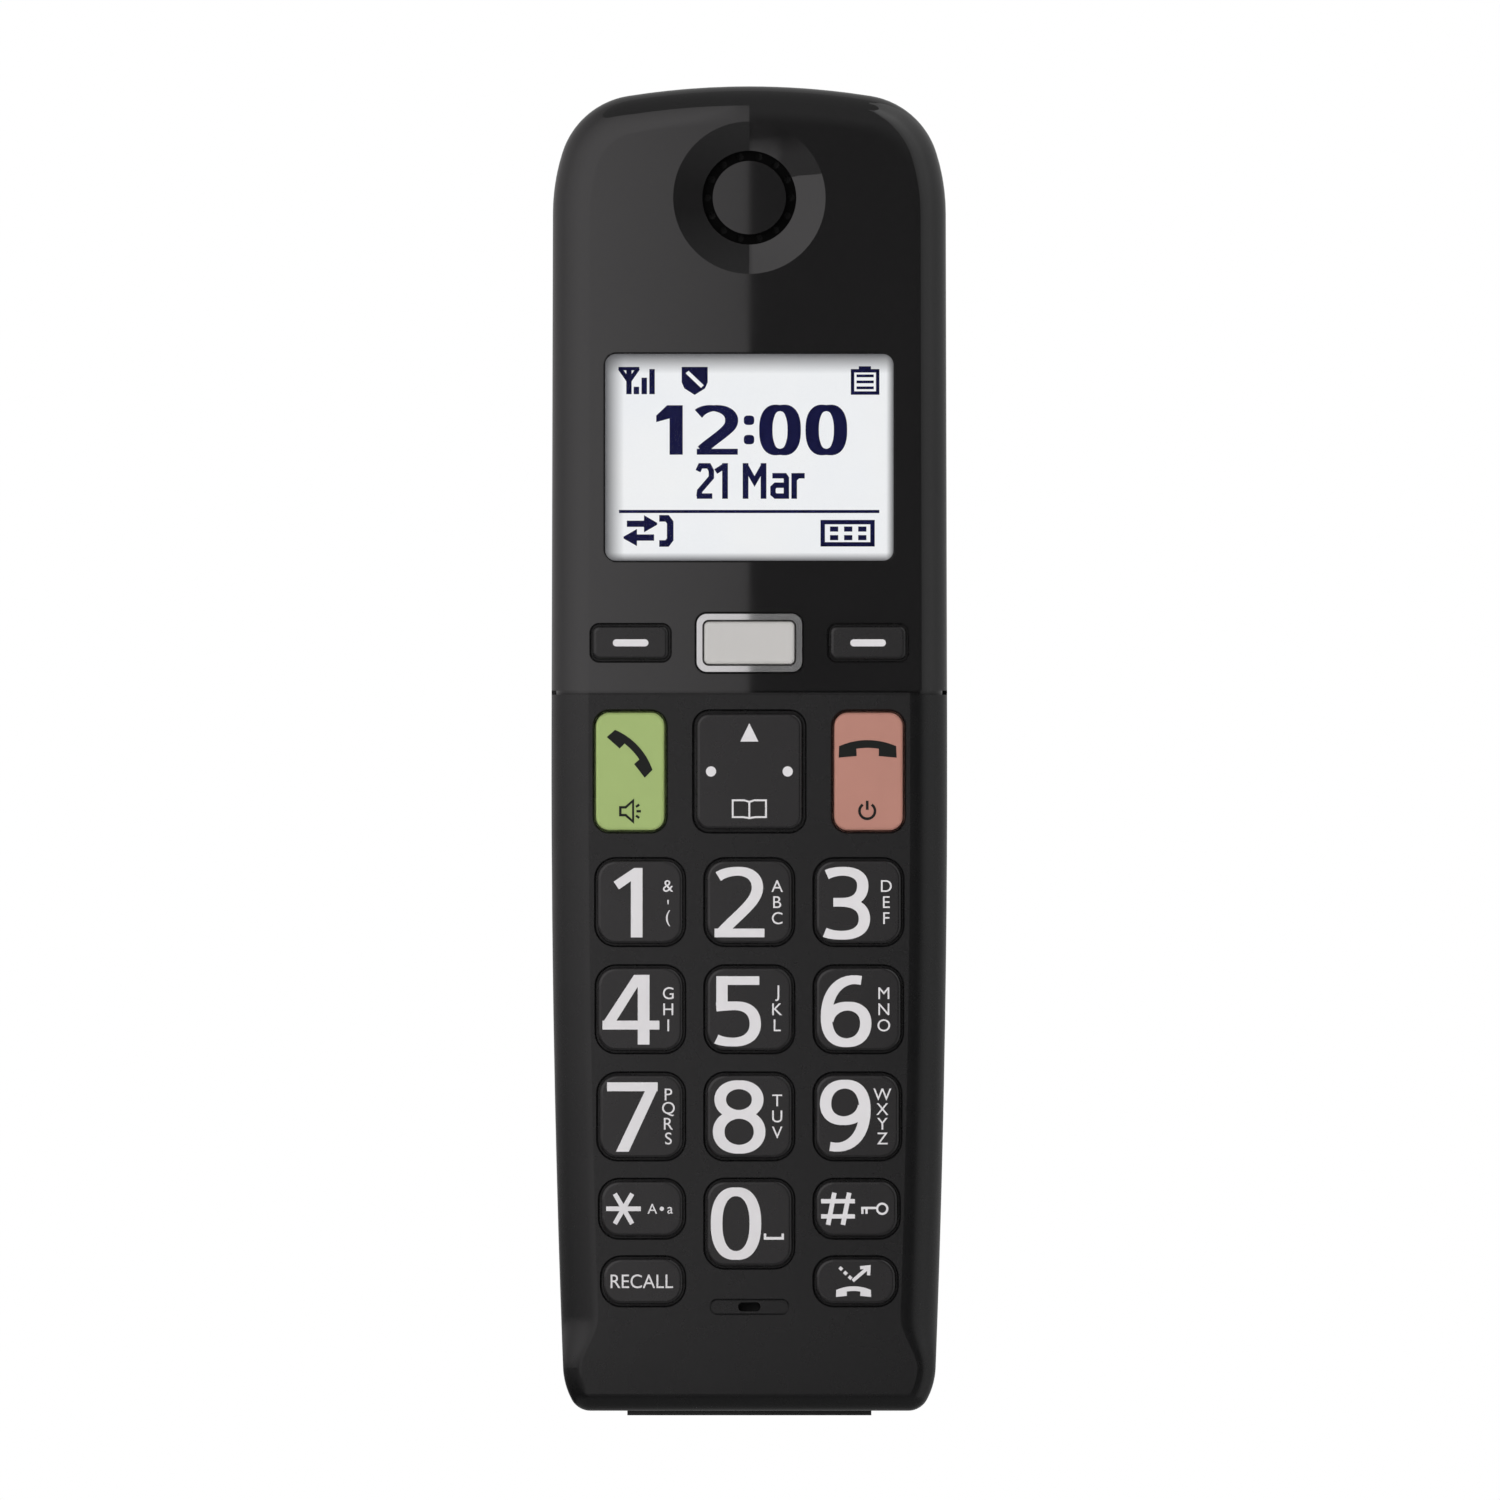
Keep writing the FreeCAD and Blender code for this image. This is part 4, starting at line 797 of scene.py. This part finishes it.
def curved_card(name, angles, heights, material):
    """Part of an upright cylinder round the object. Angles are in degrees from the front, to the right."""
    start, end = angles
    points, faces = [], []
    for i in range(CARD_STEPS + 1):
        angle = math.radians(start + (end - start) * i / CARD_STEPS)
        for z in heights:
            points.append((CARD_RADIUS * math.sin(angle), -CARD_RADIUS * math.cos(angle), z))
        if i:
            faces.append([2 * i - 2, 2 * i - 1, 2 * i + 1, 2 * i])
    mesh = bpy.data.meshes.new(name)
    mesh.from_pydata(points, [], faces)
    mesh.materials.append(material)
    made = bpy.data.objects.new(name, mesh)
    bpy.context.scene.collection.objects.link(made)
    made.visible_camera = False
    made.visible_shadow = False


def area_light(name, place, size, power):
    """A soft square light that points at the middle of the object and shows in no reflection."""
    data = bpy.data.lights.new(name, "AREA")
    data.shape = "SQUARE"
    data.size = size
    data.energy = power
    made = bpy.data.objects.new(name, data)
    made.location = place
    aim = (cad_low + cad_high) / 2 - Vector(place)
    made.rotation_euler = aim.to_track_quat("-Z", "Y").to_euler()
    made.visible_glossy = False
    made.visible_camera = False
    bpy.context.scene.collection.objects.link(made)


def build_world():
    """White behind the object for the camera. For other rays it's dim, and less dim above and below."""
    world = bpy.data.worlds.new("studio")
    bpy.context.scene.world = world
    world.use_nodes = True
    tree = world.node_tree
    room = tree.nodes["Background"]
    white = tree.nodes.new("ShaderNodeBackground")
    mix = tree.nodes.new("ShaderNodeMixShader")
    rays = tree.nodes.new("ShaderNodeLightPath")
    place = tree.nodes.new("ShaderNodeTexCoord")
    split = tree.nodes.new("ShaderNodeSeparateXYZ")
    slope = tree.nodes.new("ShaderNodeMath")
    slope.operation = "ABSOLUTE"
    tree.links.new(place.outputs["Generated"], split.inputs[0])
    tree.links.new(split.outputs["Z"], slope.inputs[0])
    tree.links.new(map_range(tree, slope.outputs[0], ROOM_SLOPE, ROOM_LIGHT), room.inputs["Strength"])
    for background in (room, white):
        background.inputs["Color"].default_value = (*WHITE, 1)
    tree.links.new(rays.outputs["Is Camera Ray"], mix.inputs["Fac"])
    tree.links.new(room.outputs[0], mix.inputs[1])
    tree.links.new(white.outputs[0], mix.inputs[2])
    tree.links.new(mix.outputs[0], tree.nodes["World Output"].inputs["Surface"])


def build_floor():
    """A pale floor. Away from the object the camera sees it as white as the background, with no edge."""
    corners = [(x * FLOOR_REACH, y * FLOOR_REACH, 0) for x, y in ((-1, -1), (1, -1), (1, 1), (-1, 1))]
    mesh = bpy.data.meshes.new("floor")
    mesh.from_pydata(corners, [], [[0, 1, 2, 3]])
    made = Shader("floor_white", Roughness=0.7)
    made.colours(made.noise(6.0), (0.2, (0.8, 0.8, 0.8)), (0.8, (0.84, 0.84, 0.84)))
    away = made.add("ShaderNodeVectorMath", operation="LENGTH")
    made.link(made.space, away.inputs[0])
    both = made.add("ShaderNodeMath", operation="MULTIPLY")
    made.link(made.between(away.outputs["Value"], 0.0, 1.0, FLOOR_NEAR, FLOOR_FAR), both.inputs[0])
    made.link(made.add("ShaderNodeLightPath").outputs["Is Camera Ray"], both.inputs[1])
    white = made.add("ShaderNodeEmission")
    mix = made.add("ShaderNodeMixShader")
    made.link(both.outputs[0], mix.inputs["Fac"])
    made.link(made.shader.outputs["BSDF"], mix.inputs[1])
    made.link(white.outputs["Emission"], mix.inputs[2])
    made.link(mix.outputs["Shader"], made.tree.nodes["Material Output"].inputs["Surface"])
    mesh.materials.append(made.material)
    floor = bpy.data.objects.new("floor", mesh)
    bpy.context.scene.collection.objects.link(floor)
    floor.visible_glossy = False


def build_camera():
    """A straight front view, with the scale at which the photograph shows the object."""
    data = bpy.data.cameras.new("camera")
    data.type = "ORTHO"
    data.ortho_scale = VIEW_WIDTH
    data.clip_end = CAMERA_REACH
    camera = bpy.data.objects.new("camera", data)
    camera.location = (VIEW_SIDE, -CAMERA_AWAY, VIEW_HEIGHT)
    camera.rotation_euler = (math.pi / 2, 0, 0)
    bpy.context.scene.collection.objects.link(camera)
    bpy.context.scene.camera = camera


build_world()
build_floor()
build_camera()
for card, (colour, angles, heights, levels, ramps) in CARDS.items():
    curved_card(card, angles, heights, emitter(card, colour, levels, ramps))
area_light("front_fill", (-0.35, -1.0, 0.45), 0.8, 6.0)
area_light("rear_soft", (0.4, 1.1, 0.9), 0.9, 22)
bpy.context.scene.view_settings.view_transform = "Standard"
